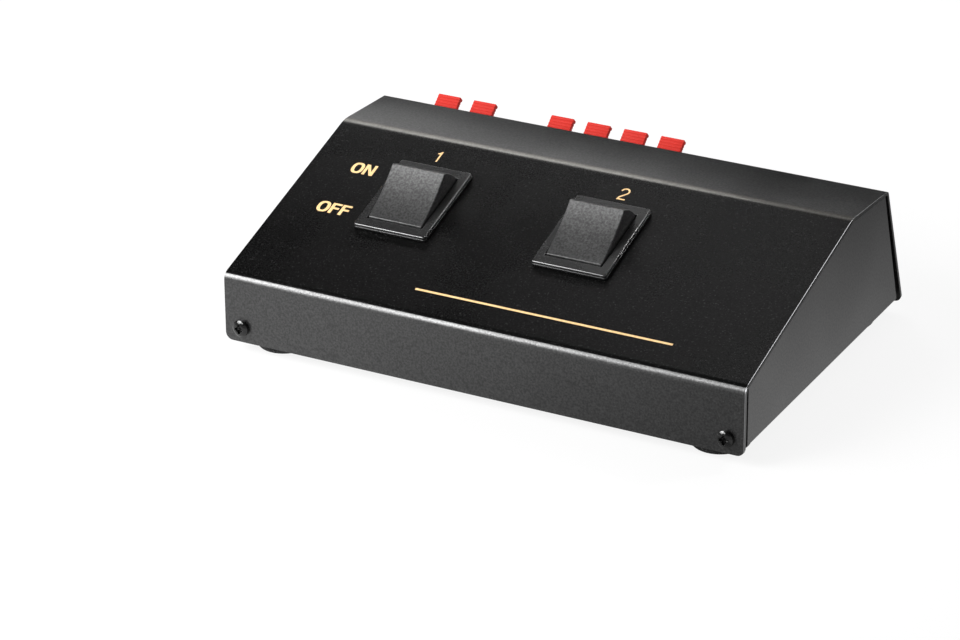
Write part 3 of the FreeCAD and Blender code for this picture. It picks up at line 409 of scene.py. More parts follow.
bezelPlastic = bezelMaterial({**switchPaint, **bezelShine})
rockerPlastic = plainGrain(
    "rockerSparkedBlack",
    base=(0.006, 0.006, 0.0061),
    fleck=(0.038, 0.038, 0.0383),
    share=0.5,
    grain=1700.0,
    cloud=60.0,
    rough=(0.43, 0.50),
    bump=0.5,
    depth=0.00004,
    specular=0.73,
    glint=0.33,
    glintScale=1400.0,
)
terminalPlastic = plainGrain(
    "terminalMouldedBlack",
    base=(0.030, 0.030, 0.0305),
    fleck=(0.062, 0.062, 0.063),
    share=0.5,
    grain=2600.0,
    rough=(0.34, 0.46),
    bump=0.3,
    depth=0.00003,
)
redPlastic = plainGrain(
    "leverRed",
    base=(0.51, 0.029, 0.021),
    fleck=(0.62, 0.060, 0.046),
    share=0.3,
    grain=1800.0,
    rough=(0.38, 0.48),
    bump=0.15,
    depth=0.00003,
    specular=0.2,
)
blackLever = plainGrain(
    "leverBlack",
    base=(0.014, 0.014, 0.015),
    fleck=(0.026, 0.026, 0.028),
    share=0.3,
    grain=1800.0,
    rough=(0.24, 0.36),
    bump=0.15,
    depth=0.00003,
    coat=0.2,
)
footRubber = plainGrain(
    "footRubber",
    base=(0.006, 0.006, 0.006),
    fleck=(0.07, 0.07, 0.07),
    share=0.55,
    grain=1500.0,
    cloud=300.0,
    rough=(0.7, 0.9),
    bump=0.8,
    depth=0.00012,
)
screwBlack = plainGrain(
    "screwBlackOxide",
    base=(0.003, 0.003, 0.003),
    fleck=(0.007, 0.007, 0.007),
    share=0.3,
    grain=3000.0,
    rough=(0.08, 0.13),
    bump=0.1,
    depth=0.00002,
    specular=0.45,
)
nickel = plainGrain(
    "nickelPlate",
    base=(0.55, 0.53, 0.49),
    fleck=(0.66, 0.64, 0.60),
    share=0.4,
    grain=2400.0,
    rough=(0.22, 0.34),
    bump=0.15,
    metallic=1.0,
)
brass = plainGrain(
    "tinnedBrass",
    base=(0.62, 0.46, 0.20),
    fleck=(0.72, 0.58, 0.32),
    share=0.4,
    grain=2400.0,
    rough=(0.25, 0.38),
    bump=0.15,
    metallic=1.0,
)
silver = plainGrain(
    "silverContact",
    base=(0.80, 0.79, 0.76),
    fleck=(0.88, 0.87, 0.84),
    share=0.4,
    grain=3000.0,
    rough=(0.18, 0.30),
    bump=0.1,
    metallic=1.0,
)
nylon = plainGrain(
    "plungerNylon",
    base=(0.62, 0.60, 0.54),
    fleck=(0.70, 0.68, 0.62),
    share=0.4,
    grain=2000.0,
    rough=(0.4, 0.5),
    bump=0.15,
)
fibreBoard = plainGrain(
    "backPlateFibre",
    base=(0.060, 0.036, 0.018),
    fleck=(0.11, 0.07, 0.035),
    share=0.6,
    grain=900.0,
    rough=(0.5, 0.62),
    bump=0.4,
)
redWire = plainGrain(
    "wireJacketRed",
    base=(0.55, 0.02, 0.02),
    fleck=(0.62, 0.04, 0.03),
    grain=1500.0,
    rough=(0.36, 0.46),
    bump=0.2,
)
blackWire = plainGrain(
    "wireJacketBlack",
    base=(0.015, 0.015, 0.016),
    fleck=(0.03, 0.03, 0.03),
    grain=1500.0,
    rough=(0.36, 0.46),
    bump=0.2,
)
print("materials made")

# ---- CAD nodes: each gets its finish, and the ones in view get rolled edges

endings = {
    "cover": casePaint,
    "chassis": chassisPaint,
    "feet": footRubber,
    "screws": screwBlack,
    "nuts": nickel,
    "_plus_lever": redPlastic,
    "_minus_lever": blackLever,
    "terminal_housing": terminalPlastic,
    "terminal_back": fibreBoard,
    "_rocker": rockerPlastic,
    "_housing": switchPlastic,
    "plungers": nylon,
    "springs": nickel,
    "strips": nickel,
    "terminals": brass,
    "bars": brass,
    "contacts": silver,
    "return_wires": blackWire,
    "wires": redWire,
}
# a node takes the first finish whose ending fits its name
finishes = {name: next(mat for end, mat in endings.items() if name.endswith(end)) for name in nodes}
for name, mat in finishes.items():
    slots = nodes[name].material_slots
    for k in range(len(slots)):
        slots[k].material = mat

# ---- surfaces


def filleted(stops, radii, steps=4, support=0.03):
    # a path whose corners are arcs: tangent length = radius * tan(turn / 2), centre on the bisector,
    # and one more point just outside each end of an arc, which keeps the flats flat when smoothed
    pts = [np.array(p, float) for p in stops]
    path = []
    for k, (p, r) in enumerate(zip(pts, radii)):
        before, after = pts[k - 1] - p, pts[(k + 1) % len(pts)] - p
        before, after = before / np.linalg.norm(before), after / np.linalg.norm(after)
        if r <= 0:
            path.append(p)
            continue
        half = math.acos(np.clip(float(before @ after), -1, 1)) / 2
        reach = r / math.tan(half)
        middle = p + (before + after) / np.linalg.norm(before + after) * r / math.sin(half)
        first, last = p + before * reach, p + after * reach
        path.append(first + before * support)
        a, b = first - middle, last - middle
        turn = math.pi - 2 * half
        for t in np.linspace(0, 1, steps + 1):
            path.append(middle + (a * math.sin((1 - t) * turn) + b * math.sin(t * turn)) / math.sin(turn))
        path.append(last + after * support)
    return np.array(path)


def roundedRectangle(halfX, halfY, radius, steps=5):
    # quarter arcs about the four corner centres, joined by straight sides, counter-clockwise
    a = np.linspace(0, np.pi / 2, steps + 1)
    turns = np.arange(4)[:, None] * np.pi / 2
    sx, sy = np.array([1, -1, -1, 1])[:, None], np.array([1, 1, -1, -1])[:, None]
    x = sx * (halfX - radius) + radius * np.cos(a + turns)
    y = sy * (halfY - radius) + radius * np.sin(a + turns)
    return np.stack([x.ravel(), y.ravel()], axis=1)


def gridFaces(rows, columns, closeRows=False):
    # quads of a grid whose columns run round and whose rows may close on themselves
    i = np.arange(rows if closeRows else rows - 1)[:, None]
    j = np.arange(columns)[None, :]
    i2, j2 = (i + 1) % rows, (j + 1) % columns
    quads = np.stack([i * columns + j, i * columns + j2, i2 * columns + j2, i2 * columns + j], axis=-1)
    return quads.reshape(-1, 4).tolist()


def cappedFaces(points):
    # the quads of a grid of points, with one face closing each end
    rows, columns = points.shape[:2]
    caps = [list(range(columns))[::-1], list(range((rows - 1) * columns, rows * columns))]
    return gridFaces(rows, columns) + caps


def addPiece(name, points, faces, material, body):
    mesh = bpy.data.meshes.new(name)
    mesh.from_pydata(np.asarray(points).reshape(-1, 3).tolist(), [], faces)
    mesh.materials.append(material)
    mesh.shade_smooth()
    piece = bpy.data.objects.new(name, mesh)
    bpy.context.scene.collection.objects.link(piece)
    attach(piece, body)
    return piece


def closeShell(piece, sharp):
    # all faces look outward, and only edges that turn by more than the given angle stay sharp
    work = bmesh.new()
    work.from_mesh(piece.data)
    bmesh.ops.recalc_face_normals(work, faces=work.faces)
    work.to_mesh(piece.data)
    work.free()
    piece.data.shade_smooth()
    piece.data.set_sharp_from_angle(angle=math.radians(sharp))


def leftOf(outline):
    # at each point of a closed outline, the arrow square to its way there, on its left
    ahead, behind = np.roll(outline, -1, 0), np.roll(outline, 1, 0)
    along = (ahead - behind) / np.linalg.norm(ahead - behind, axis=1)[:, None]
    return np.stack([-along[:, 1], along[:, 0]], axis=1)


roll = {
    "weld": 0.002,  # mm between points that become one
    "flat": 0.6,  # degrees between faces that become one
    "sharp": 30.0,  # degrees past which an edge is rolled
    "steps": 2,
    "weight": 80,
}


def rollEdges(name, radius, keepBelow=None, reshape=None, merge=True):
    # a copy of the CAD solid whose sharp edges become rounds of the given radius: points that touch
    # are joined, flat neighbours too unless merge is off, and reshape moves points before the rounding;
    # keepBelow is a point and an arrow, and what lies past it along the arrow is cut away
    source = nodes[name]
    mesh = bpy.data.meshes.new(name + "Rolled")
    work = bmesh.new()
    work.from_mesh(source.data)
    bmesh.ops.remove_doubles(work, verts=work.verts, dist=roll["weld"] * mm)
    if keepBelow:
        parts = work.verts[:] + work.edges[:] + work.faces[:]
        point, arrow = keepBelow
        cut = bmesh.ops.bisect_plane(work, geom=parts, plane_co=point, plane_no=arrow, clear_outer=True)
        rim = [e for e in cut["geom_cut"] if isinstance(e, bmesh.types.BMEdge)]
        bmesh.ops.holes_fill(work, edges=rim)
    if merge:
        flat = math.radians(roll["flat"])
        bmesh.ops.dissolve_limit(work, angle_limit=flat, verts=work.verts, edges=work.edges)
    work.to_mesh(mesh)
    work.free()
    if reshape:
        co = np.empty(len(mesh.vertices) * 3)
        mesh.vertices.foreach_get("co", co)
        mesh.vertices.foreach_set("co", reshape(co.reshape(-1, 3)).ravel())
    mesh.materials.clear()
    mesh.materials.append(finishes[name])
    mesh.polygons.foreach_set("material_index", np.zeros(len(mesh.polygons), int))
    mesh.shade_smooth()
    piece = bpy.data.objects.new(name + "Rolled", mesh)
    bpy.context.scene.collection.objects.link(piece)
    bevel = piece.modifiers.new("roll", "BEVEL")
    bevel.width = radius * mm
    bevel.segments = roll["steps"]
    bevel.limit_method = "ANGLE"
    bevel.angle_limit = math.radians(roll["sharp"])
    bevel.miter_outer = "MITER_ARC"
    smooth = piece.modifiers.new("faces", "WEIGHTED_NORMAL")
    smooth.weight = roll["weight"]
    bpy.context.view_layer.update()
    shaped = piece.evaluated_get(bpy.context.evaluated_depsgraph_get())
    piece.data = bpy.data.meshes.new_from_object(shaped)
    piece.modifiers.clear()
    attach(piece, source["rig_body"])
    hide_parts(name)
    return piece


def openFold(co, corner, first, second, new):
    # the fold between two panels opens to a wider radius: each point on its arc keeps its angle
    # about the fold's centre, and both its radius and the centre's depth grow by the difference
    old, new = case["foldRadius"] * mm, new * mm
    middle = (first + second) / np.linalg.norm(first + second)
    slant = float(middle @ first)
    tip = np.array(corner) * mm
    spoke = co[:, 1:] - (tip - middle * old / slant)
    length = np.linalg.norm(spoke, axis=1)
    arrow = spoke / length[:, None]
    onArc = (length < old * 1.05) & (length > old * 0.5) & (arrow @ middle > slant - 0.0005)
    moved = co.copy()
    moved[onArc, 1:] = (tip - middle * new / slant + arrow * (length + new - old)[:, None])[onArc]
    return moved


def openFolds(co):
    c, d = unit(case["frontLean"])
    frontOut = np.array([-c, d])
    c, d = unit(case["slopeAngle"])
    slopeOut = np.array([-d, c])
    c, d = unit(case["ledgeDip"])
    ledgeOut = np.array([d, c])
    co = openFold(co, corners[1], frontOut, slopeOut, case["frontFoldRadius"])
    return openFold(co, corners[2], slopeOut, ledgeOut, case["topFoldRadius"])


def tightenSideFolds(co):
    # the folds under both side panels close to a smaller radius, in the same way
    old, new = case["sideFoldRadius"] * mm, case["sideFoldTight"] * mm
    x, z = np.abs(co[:, 0]), co[:, 2]
    edge, low = case["width"] / 2 * mm, case["plateBottom"] * mm
    spoke = np.stack([x - (edge - old), z - (low + old)], axis=1)
    length = np.linalg.norm(spoke, axis=1)
    onArc = (length < old * 1.02) & (length > old * 0.45) & (spoke[:, 0] > -1e-6) & (spoke[:, 1] < 1e-6)
    arrow = spoke / np.maximum(length, 1e-9)[:, None]
    placed = np.array([edge - new, low + new]) + arrow * (length + new - old)[:, None]
    moved = co.copy()
    moved[onArc, 0] = (np.sign(co[:, 0]) * placed[:, 0])[onArc]
    moved[onArc, 2] = placed[onArc, 1]
    return moved


reshapes = {"cover": openFolds, "chassis": tightenSideFolds}
rolled = {
    "cover": 0.28,
    "chassis": 0.2,
    "amplifier_terminal_housing": 0.12,
    "speaker_terminal_housing": 0.12,
    "cover_screws": 0.08,
    "terminal_screws": 0.08,
}
for name, radius in rolled.items():
    piece = rollEdges(name, radius, reshape=reshapes.get(name), merge="terminal_housing" not in name)
    print("rolled", name, len(piece.data.polygons))

# ---- rocker switches, in the slope's own frame: across, up the slope, out of it

switch = {
    "places": {"switch_1": -47.1, "switch_2": 16.1},
    "up": 47.0,
    "bezel": (12.85, 16.15, 2.0),  # half across, half along, height
    "corner": 0.7,
    "grooveDepth": 0.35,
    "groove": (0.95, 1.15),
    "inset": 0.08,
    "step": 0.2,  # rounds of the step, the outer rim and the lip
    "rim": 0.42,
    "lip": 0.25,
    "opening": 9.9,  # half across
    "openingCorner": 0.25,
    "rows": (1.4, 2.8),  # depths of the rows that bend the opening's end walls
    "gap": 0.5,
    "sleeve": (10.85, 14.25, -1.9),
    "axis": -2.1,
    "rockerHalf": 9.5,
    "rockerRadius": 12.65,
    "rockerAngle": 50.8,
    "sag": 0.85,
    "tilt": 19.1,
    "skirt": -2.2,
    "edge": 0.32,
    "side": 0.3,
    "support": 0.02,  # mm from a round to the row that keeps the flat beside it flat
    "sharp": 40.0,
    "cut": (-1.85, 0.05),  # where the CAD pieces end under the bezel and under the rocker's skirt
    "rolls": (0.1, 0.08),  # edges of the housing and of the rocker
}


def addBezel(name, x, s):
    # a ring of rounded rectangles stacked along a closed profile: up the stepped outside, over the lip,
    # down the opening, whose end walls follow the rocker: half length = sqrt(radius^2 - height^2)
    halfX, halfY, top = s["bezel"]
    low, high = s["groove"]
    waist, mouth = halfX - s["grooveDepth"], s["opening"]
    sleeveX, sleeveY, bottom = s["sleeve"]
    step, brim = s["step"], halfX - s["inset"]
    stops = [
        (halfX, 0.0, 0),
        (halfX, low, step),
        (waist, low, 0),
        (waist, high, 0),
        (brim, high, step),
        (brim, top, s["rim"]),
        (mouth, top, s["lip"]),
        (mouth, top - s["rows"][0], 0),
        (mouth, top - s["rows"][1], 0),
        (mouth, bottom, 0),
        (sleeveX, bottom, 0),
        (sleeveX, 0.0, 0),
    ]
    profile = filleted([stop[:2] for stop in stops], [stop[2] for stop in stops])
    wall = s["rockerRadius"] + s["gap"]
    loops = []
    for half, w in profile:
        if half > (sleeveX + mouth) / 2:
            length = half - halfX + halfY if half > sleeveX else sleeveY
            corner = s["corner"]
        else:
            length = math.sqrt(wall**2 - (w - s["axis"]) ** 2) + half - mouth
            corner = s["openingCorner"]
        outline = roundedRectangle(half, length, corner)
        loops.append(onPanel(slopePanel, outline[:, 0] + x, outline[:, 1] + s["up"], w))
    points = np.array(loops)
    faces = gridFaces(*points.shape[:2], closeRows=True)
    addPiece(name + "Bezel", points, faces, bezelPlastic, "case")


def rockerOutline(s):
    # dished top arc, two end arcs of the rocker's own radius about its axis, and a flat underside
    r, half = s["rockerRadius"], math.radians(s["rockerAngle"])
    edge, reach = r * math.cos(half), r * math.sin(half)
    dish = (reach**2 + s["sag"] ** 2) / (2 * s["sag"])
    lean = math.asin(reach / dish)
    a = np.linspace(lean, -lean, 25)
    top = np.stack([dish * np.sin(a), edge - s["sag"] + dish - dish * np.cos(a)], axis=1)
    end = math.acos(s["skirt"] / r)
    b = np.linspace(half, end, 17)
    back = np.stack([-r * np.sin(b), r * np.cos(b)], axis=1)
    front = (back * (-1, 1))[::-1]
    path = np.vstack([front, top[1:-1], back])
    radii = np.zeros(len(path))
    radii[[len(front) - 1, len(front) + len(top) - 2]] = s["edge"]
    return filleted(path, radii, 5, s["support"])


def addRocker(name, x, s):
    # the outline carried across; at both sides it shrinks along its own normals by a quarter round
    outline = rockerOutline(s)
    t = np.linspace(0, np.pi / 2, 5)
    half, r = s["rockerHalf"], s["side"]
    right = half - r + r * np.sin(t)
    flat = half - r - s["support"]
    across = np.concatenate([-right[::-1], [-flat, flat], right])
    shrink = np.concatenate([r * (1 - np.cos(t))[::-1], [0, 0], r * (1 - np.cos(t))])
    c, d = unit(s["tilt"])
    p = outline[None] + shrink[:, None, None] * leftOf(outline)[None]
    v, w = p[..., 0] * c - p[..., 1] * d, p[..., 0] * d + p[..., 1] * c
    points = onPanel(slopePanel, across[:, None] + x, v + s["up"], w + s["axis"])
    piece = addPiece(name + "RockerTop", points, cappedFaces(points), rockerPlastic, name + "_rocker_group")
    closeShell(piece, s["sharp"])


for name, x in switch["places"].items():
    addBezel(name, x, switch)
    under = onPanel(slopePanel, x, switch["up"], switch["cut"][0])
    rollEdges(name + "_housing", switch["rolls"][0], (under, slopePanel[3]))
    addRocker(name, x, switch)
    c, d = unit(switch["tilt"])
    arrow = -d * slopePanel[2] + c * slopePanel[3]
    hub = onPanel(slopePanel, x, switch["up"], switch["axis"])
    skirt = hub + arrow * (switch["skirt"] + switch["cut"][1]) * mm
    rollEdges(name + "_rocker", switch["rolls"][1], (skirt, arrow))
print("switches made")

# ---- lever thumb plates, in the terminal block's frame: across, up from its middle line, out

blockMiddle = 24.0
lever = {
    "half": 4.14,
    "shift": 0.3,
    "root": (8.0, 7.6),
    "foot": 2.0,  # length hidden in the root
    "lean": (14.0, 66.0),  # from the flap, at the root and past the bend
    "bend": 3.0,
    "length": 7.75,
    "inner": 1.45,
    "swell": 0.5,
    "ridges": 4,
    "ridge": 0.2,
    "ridgeStart": 0.3,
    "ridgeFoot": 0.6,
    "ridgeRise": 0.14,
    "pitch": 0.85,
    "bead": 0.75,
    "tipRound": 0.22,
    "lines": 4,
    "line": 0.16,
    "lineHalf": 0.25,
    "linePitch": 1.08,
    "firstLine": 0.9,
    "side": 0.18,
    "sharp": 38.0,
    "cut": 8.3,
    "roll": 0.1,
}
columns = {
    "amplifier_right": -60.775,
    "amplifier_left": -74.125,
    "speaker_1_right": -18.675,
    "speaker_1_left": -32.025,
    "speaker_2_right": 8.025,
    "speaker_2_left": -5.325,
}


def plateLine(s, a):
    # middle line of the front face: its lean grows evenly from root to bend end and then stays
    fine = np.linspace(-s["foot"], s["length"], 400)
    low, high = np.radians(s["lean"])
    lean = low + (high - low) * np.clip(fine / s["bend"], 0, 1)
    step = fine[1] - fine[0]
    u = s["root"][0] + (np.cumsum(np.cos(lean)) - np.cos(lean)[0]) * step
    w = s["root"][1] + (np.cumsum(np.sin(lean)) - np.sin(lean)[0]) * step
    start = np.interp(0.0, fine, u), np.interp(0.0, fine, w)
    u, w = u - start[0] + s["root"][0], w - start[1] + s["root"][1]
    return np.interp(a, fine, u), np.interp(a, fine, w), np.interp(a, fine, lean)


def plateOutline(s):
    # flat inner face with fine lines, a square tip whose corners are small arcs, the bead behind it
    # tapering back to the plate, then down the outer face over the ridges
    tip, r, inner, swell = s["length"], s["tipRound"], -s["inner"], s["swell"]
    turn = np.radians(np.linspace(0, 90, 4))
    front = [(-s["foot"], inner)] + [(a, inner) for a in np.linspace(0, 2.6, 6)]
    for k in range(s["lines"])[::-1]:
        a, half = tip - s["firstLine"] - k * s["linePitch"], s["lineHalf"]
        front += [(a - half, inner), (a - half / 2, inner - s["line"]), (a + half / 2, inner - s["line"])]
        front += [(a + half, inner)]
    front += [(tip - r + r * math.sin(t), inner + r - r * math.cos(t)) for t in turn]
    nose = [(tip - r + r * math.cos(t), swell - r + r * math.sin(t)) for t in turn]
    nose += [(tip - s["bead"], swell), (tip - s["bead"] - swell, 0.0)]
    back = []
    for k in range(s["ridges"]):
        a = nose[-1][0] - s["ridgeStart"] - k * s["pitch"]
        b = a - s["ridgeFoot"]
        back += [(a, 0.0), (a - s["ridgeRise"], s["ridge"]), (b + s["ridgeRise"], s["ridge"]), (b, 0.0)]
    under = [(a, 0.0) for a in np.linspace(back[-1][0] - 0.2, 0, 5)] + [(-s["foot"], 0.0)]
    return front, nose, back + under


def addPlate(name, s, x, up):
    # the outline carried across the lever; both side rims shrink by a small quarter round
    front, nose, back = plateOutline(s)
    path = np.array(front + nose + back)
    u, w, lean = plateLine(s, path[:, 0])
    outline = np.stack([u - np.sin(lean) * path[:, 1], w + np.cos(lean) * path[:, 1]], axis=1)
    # the inside is on the left of an outline whose signed area is above nothing
    area = np.sum(outline[:, 0] * np.roll(outline[:, 1], -1) - outline[:, 1] * np.roll(outline[:, 0], -1))
    inward = leftOf(outline) * np.sign(area)
    t = np.linspace(0, np.pi / 2, 4)
    r = s["side"]
    right = s["half"] - r + r * np.sin(t)
    across = np.concatenate([-right[::-1], right])
    shrink = np.concatenate([r * (1 - np.cos(t))[::-1], r * (1 - np.cos(t))])
    p = outline[None] + shrink[:, None, None] * inward[None]
    points = onPanel(rearPanel, across[:, None] - x, blockMiddle + up * p[..., 0], p[..., 1])
    piece = addPiece(name + "Plate", points, cappedFaces(points), finishes[name], name + "_group")
    closeShell(piece, s["sharp"])


for channel, x in columns.items():
    for sign, up in (("plus", 1), ("minus", -1)):
        name = channel + "_" + sign + "_lever"
        addPlate(name, lever, x + (lever["shift"] if "speaker" in channel else 0.0), up)
        at = onPanel(rearPanel, -x, blockMiddle, lever["cut"])
        rollEdges(name, lever["roll"], (at, rearPanel[3]))
print("levers made")

# ---- lettering and lines in gold ink

inkSettings = {
    "lift": 0.015,  # mm over the paint
    "colour": (0.70, 0.44, 0.19),
    "pale": (0.82, 0.58, 0.30),
}
goldInk = plainGrain(
    "goldInk",
    base=inkSettings["colour"],
    fleck=inkSettings["pale"],
    share=0.7,
    grain=2600.0,
    rough=(0.42, 0.55),
    bump=0.2,
    depth=0.00001,
)
creamInk = plainGrain(
    "creamInk",
    base=(0.80, 0.76, 0.64),
    fleck=(0.90, 0.87, 0.76),
    share=0.6,
    grain=2600.0,
    rough=(0.42, 0.55),
    bump=0.2,
    depth=0.00001,
)


def layPrint(name, flat, faces, panel, ink):
    # flat faces lifted just off a panel, looking out of it
    flat = np.array(flat)
    laid = onPanel(panel, flat[:, 0], flat[:, 1], inkSettings["lift"])
    mesh = bpy.data.meshes.new(name)
    mesh.from_pydata(laid.tolist(), [], faces)
    mesh.update()
    if float(np.dot(mesh.polygons[0].normal, panel[3])) < 0:
        mesh.flip_normals()
    mesh.materials.append(ink)
    piece = bpy.data.objects.new(name, mesh)
    bpy.context.scene.collection.objects.link(piece)
    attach(piece, "case")


def superRing(outer, inner, middle, power=2.5, count=48):
    # two superellipses, x = a * |cos t|^(2 / n), y = b * |sin t|^(2 / n), with quads between them
    t = np.linspace(0, 2 * np.pi, count, endpoint=False)
    cx, cy = (np.sign(v) * np.abs(v) ** (2 / power) for v in (np.cos(t), np.sin(t)))
    rings = [np.stack([middle[0] + a * cx, middle[1] + b * cy], axis=1) for a, b in (outer, inner)]
    k = np.arange(count)
    faces = np.stack([k, (k + 1) % count, count + (k + 1) % count, count + k], axis=1)
    return np.vstack(rings), faces.tolist()


def ribbon(path, width):
    # a path of straight runs, set off to both sides by half the width along the mitre between runs
    p = np.array(path, float)
    run = np.diff(p, axis=0)
    run /= np.linalg.norm(run, axis=1)[:, None]
    side = np.stack([-run[:, 1], run[:, 0]], axis=1)
    mitre = np.vstack([side[:1], side[:-1] + side[1:], side[-1:]])
    mitre /= np.sum(mitre * np.vstack([side[:1], side]), axis=1)[:, None]
    n = len(p)
    faces = [(k, k + 1, n + k + 1, n + k) for k in range(n - 1)]
    return np.vstack([p + mitre * width / 2, p - mitre * width / 2]), faces


def polygon(points):
    return np.array(points, float), [list(range(len(points)))]


def arc(middle, radius, start, end, count=14):
    t = np.radians(np.linspace(start, end, count))
    return [(middle[0] + radius * math.cos(a), middle[1] + radius * math.sin(a)) for a in t]


def joined(*parts):
    points, faces = [], []
    for p, f in parts:
        faces += [[k + len(points) for k in face] for face in f]
        points += [tuple(q) for q in p]
    return points, faces


# bold letters and plain figures on a cap height of one
leftStem, rightStem = [(0, 0), (0, 1)], [(0.53, 1), (0.72, 1), (0.72, 0)]
arms = [(0.60, 1), (0.60, 0.83), (0.2, 0.83), (0.2, 0.6), (0.54, 0.6), (0.54, 0.43)]
flag = [(0.08, 0.73), (0.08, 0.81), (0.2, 0.85), (0.29, 1)]
glyphs = {
    "O": superRing((0.39, 0.515), (0.185, 0.345), (0.39, 0.5)),
    "N": polygon(leftStem + [(0.21, 1), (0.53, 0.36)] + rightStem + [(0.51, 0), (0.19, 0.64), (0.19, 0)]),
    "F": polygon(leftStem + arms + [(0.2, 0.43), (0.2, 0)]),
    "1": polygon([(0.27, 0), (0.27, 0.73)] + flag + [(0.38, 1), (0.38, 0)]),
    "2": ribbon(
        arc((0.28, 0.71), 0.235, 175, -38) + [(0.30, 0.40), (0.12, 0.22), (0.075, 0.05), (0.54, 0.05)],
        0.1,
    ),
}
advance = {"O": 0.84, "N": 0.80, "F": 0.66, "1": 0.5, "2": 0.6}


# thin letters, each a few strokes of one width, slanting ones a little wider
pen, widePen = 0.13, 0.15
bowl = [(0.065, 0.0), (0.065, 0.935), (0.40, 0.935)] + arc((0.40, 0.715), 0.22, 80, -80, 9) + [(0.13, 0.495)]
glyphs["R"] = joined(ribbon(bowl, pen), ribbon([(0.34, 0.43), (0.60, 0.0)], widePen))
glyphs["L"] = ribbon([(0.065, 1.0), (0.065, 0.065), (0.54, 0.065)], pen)
glyphs["+"] = joined(ribbon([(0.0, 0.42), (0.62, 0.42)], pen), ribbon([(0.31, 0.11), (0.31, 0.73)], pen))
glyphs["-"] = ribbon([(0.0, 0.42), (0.58, 0.42)], pen)
glyphs["I"] = ribbon([(0.07, 0.0), (0.07, 1.0)], pen)
glyphs["n"] = joined(
    ribbon([(0.065, 0.0), (0.065, 1.0)], pen),
    ribbon([(0.09, 0.93), (0.55, 0.07)], widePen),
    ribbon([(0.575, 0.0), (0.575, 1.0)], pen),
)
advance.update({"R": 0.76, "L": 0.72, "+": 0.62, "-": 0.58, "I": 0.30, "n": 0.64})


def printCentred(name, word, panel, middle, base, height, ink, stretch=1.0):
    width = sum(advance[letter] for letter in word[:-1]) + glyphWidth[word[-1]]
    printGlyphs(name, word, panel, middle - width * height * stretch / 2, base, height, ink, stretch)


def printGlyphs(name, word, panel, left, base, height, ink, stretch=1.0):
    # the word's glyphs side by side as one flat mesh
    points, faces, start = [], [], 0.0
    for letter in word:
        p, f = glyphs[letter]
        faces += [[k + len(points) for k in face] for face in f]
        points += [(left + (x + start) * height * stretch, base + y * height) for x, y in p]
        start += advance[letter]
    layPrint(name, points, faces, panel, ink)


glyphWidth = {letter: max(p[0] for p in shape[0]) for letter, shape in glyphs.items()}
slopeMarks = {  # word, left end, base line, height and stretch
    "markOn": ("ON", -75.4, 54.85, 4.9, 1.1),
    "markOff": ("OFF", -77.0, 35.15, 4.8, 1.16),
    "markOne": ("1", -51.4, 66.9, 4.9, 1.0),
    "markTwo": ("2", 14.7, 66.4, 5.5, 1.0),
}
rule = {"ends": (-27.0, 61.0), "up": 11.1, "line": 0.8}
for name, (word, left, base, height, stretch) in slopeMarks.items():
    printGlyphs(name, word, slopePanel, left, base, height, goldInk, stretch)
path = [(x, rule["up"]) for x in rule["ends"]]
layPrint("panelRule", *ribbon(path, rule["line"]), slopePanel, goldInk)

terminalMarks = {
    "plus": (39.8, 2.6),  # base and height up the flap
    "minus": (7.1, 2.35),
    "name": (3.15, 2.3),
    "bracket": (10.3, 4.3, 0.3),  # top, bottom and line width
    "gap": {"2": 1.9, "1": 1.6, "In": 2.6},
}
groups = {
    "speaker2": ("2", "speaker_2", (14.0, -10.95)),
    "speaker1": ("1", "speaker_1", (-12.9, -38.1)),
    "amplifier": ("In", "amplifier", (-53.5, -79.2)),
}
for group, (word, channel, (first, last)) in groups.items():
    for letter, x in (("R", columns[channel + "_right"]), ("L", columns[channel + "_left"])):
        base, height = terminalMarks["plus"]
        printCentred(group + letter + "Plus", letter + "+", rearPanel, -x, base, height, creamInk, 1.2)
        base, height = terminalMarks["minus"]
        printCentred(group + letter + "Minus", letter + "-", rearPanel, -x, base, height, goldInk, 1.2)
    middle = -(first + last) / 2
    base, height = terminalMarks["name"]
    printCentred(group + "Name", word, rearPanel, middle, base, height, goldInk, 1.1)
    top, bottom, line = terminalMarks["bracket"]
    for hand, side, x in (("Right", -1, first), ("Left", 1, last)):
        path = [(-x, top), (-x, bottom), (middle + side * terminalMarks["gap"][word], bottom)]
        layPrint(group + hand + "Bracket", *ribbon(path, line), rearPanel, goldInk)
print("ink laid")

# ---- floor, light and camera

studio = {
    "floorSize": 12.0,
    "floorCells": 8,
    "floorWhite": 0.80,
    "floorShow": 0.86,  # share of plain white that a camera ray sees in the floor
    "floorFade": (0.25, 0.9),  # metres from the middle, where that share grows to all
    # in reflections: levels at the left, before the case, close to its right and further right,
    # then the places in metres over which they change, and the shares left towards the back
    "mirrorLevels": (1.18, 0.40, 0.82, 0.35),
    "across": (-0.11, 0.08),
    "rightFrom": (0.085, 0.095),
    "rightTo": (0.10, 0.17),
    "beforeEnd": (0.0, 0.07, 0.04),
    "besideEnd": (-0.02, 0.15, 0.38),
    "behindEnd": (0.14, 0.20, 0.13),
    "horizon": 0.55,
    "overhead": 0.05,
    "band": (0.10, 0.45),  # heights between which the world dims
    "behind": (0.1, 0.7, 0.08),  # where the world dims towards the back, and the share left
}


def floorFaces(n):
    # the cells of a square of n by n points, each turned to look up
    k = np.arange(n - 1)[:, None] * n + np.arange(n - 1)[None, :]
    return np.stack([k, k + n, k + n + 1, k + 1], axis=-1).reshape(-1, 4).tolist()


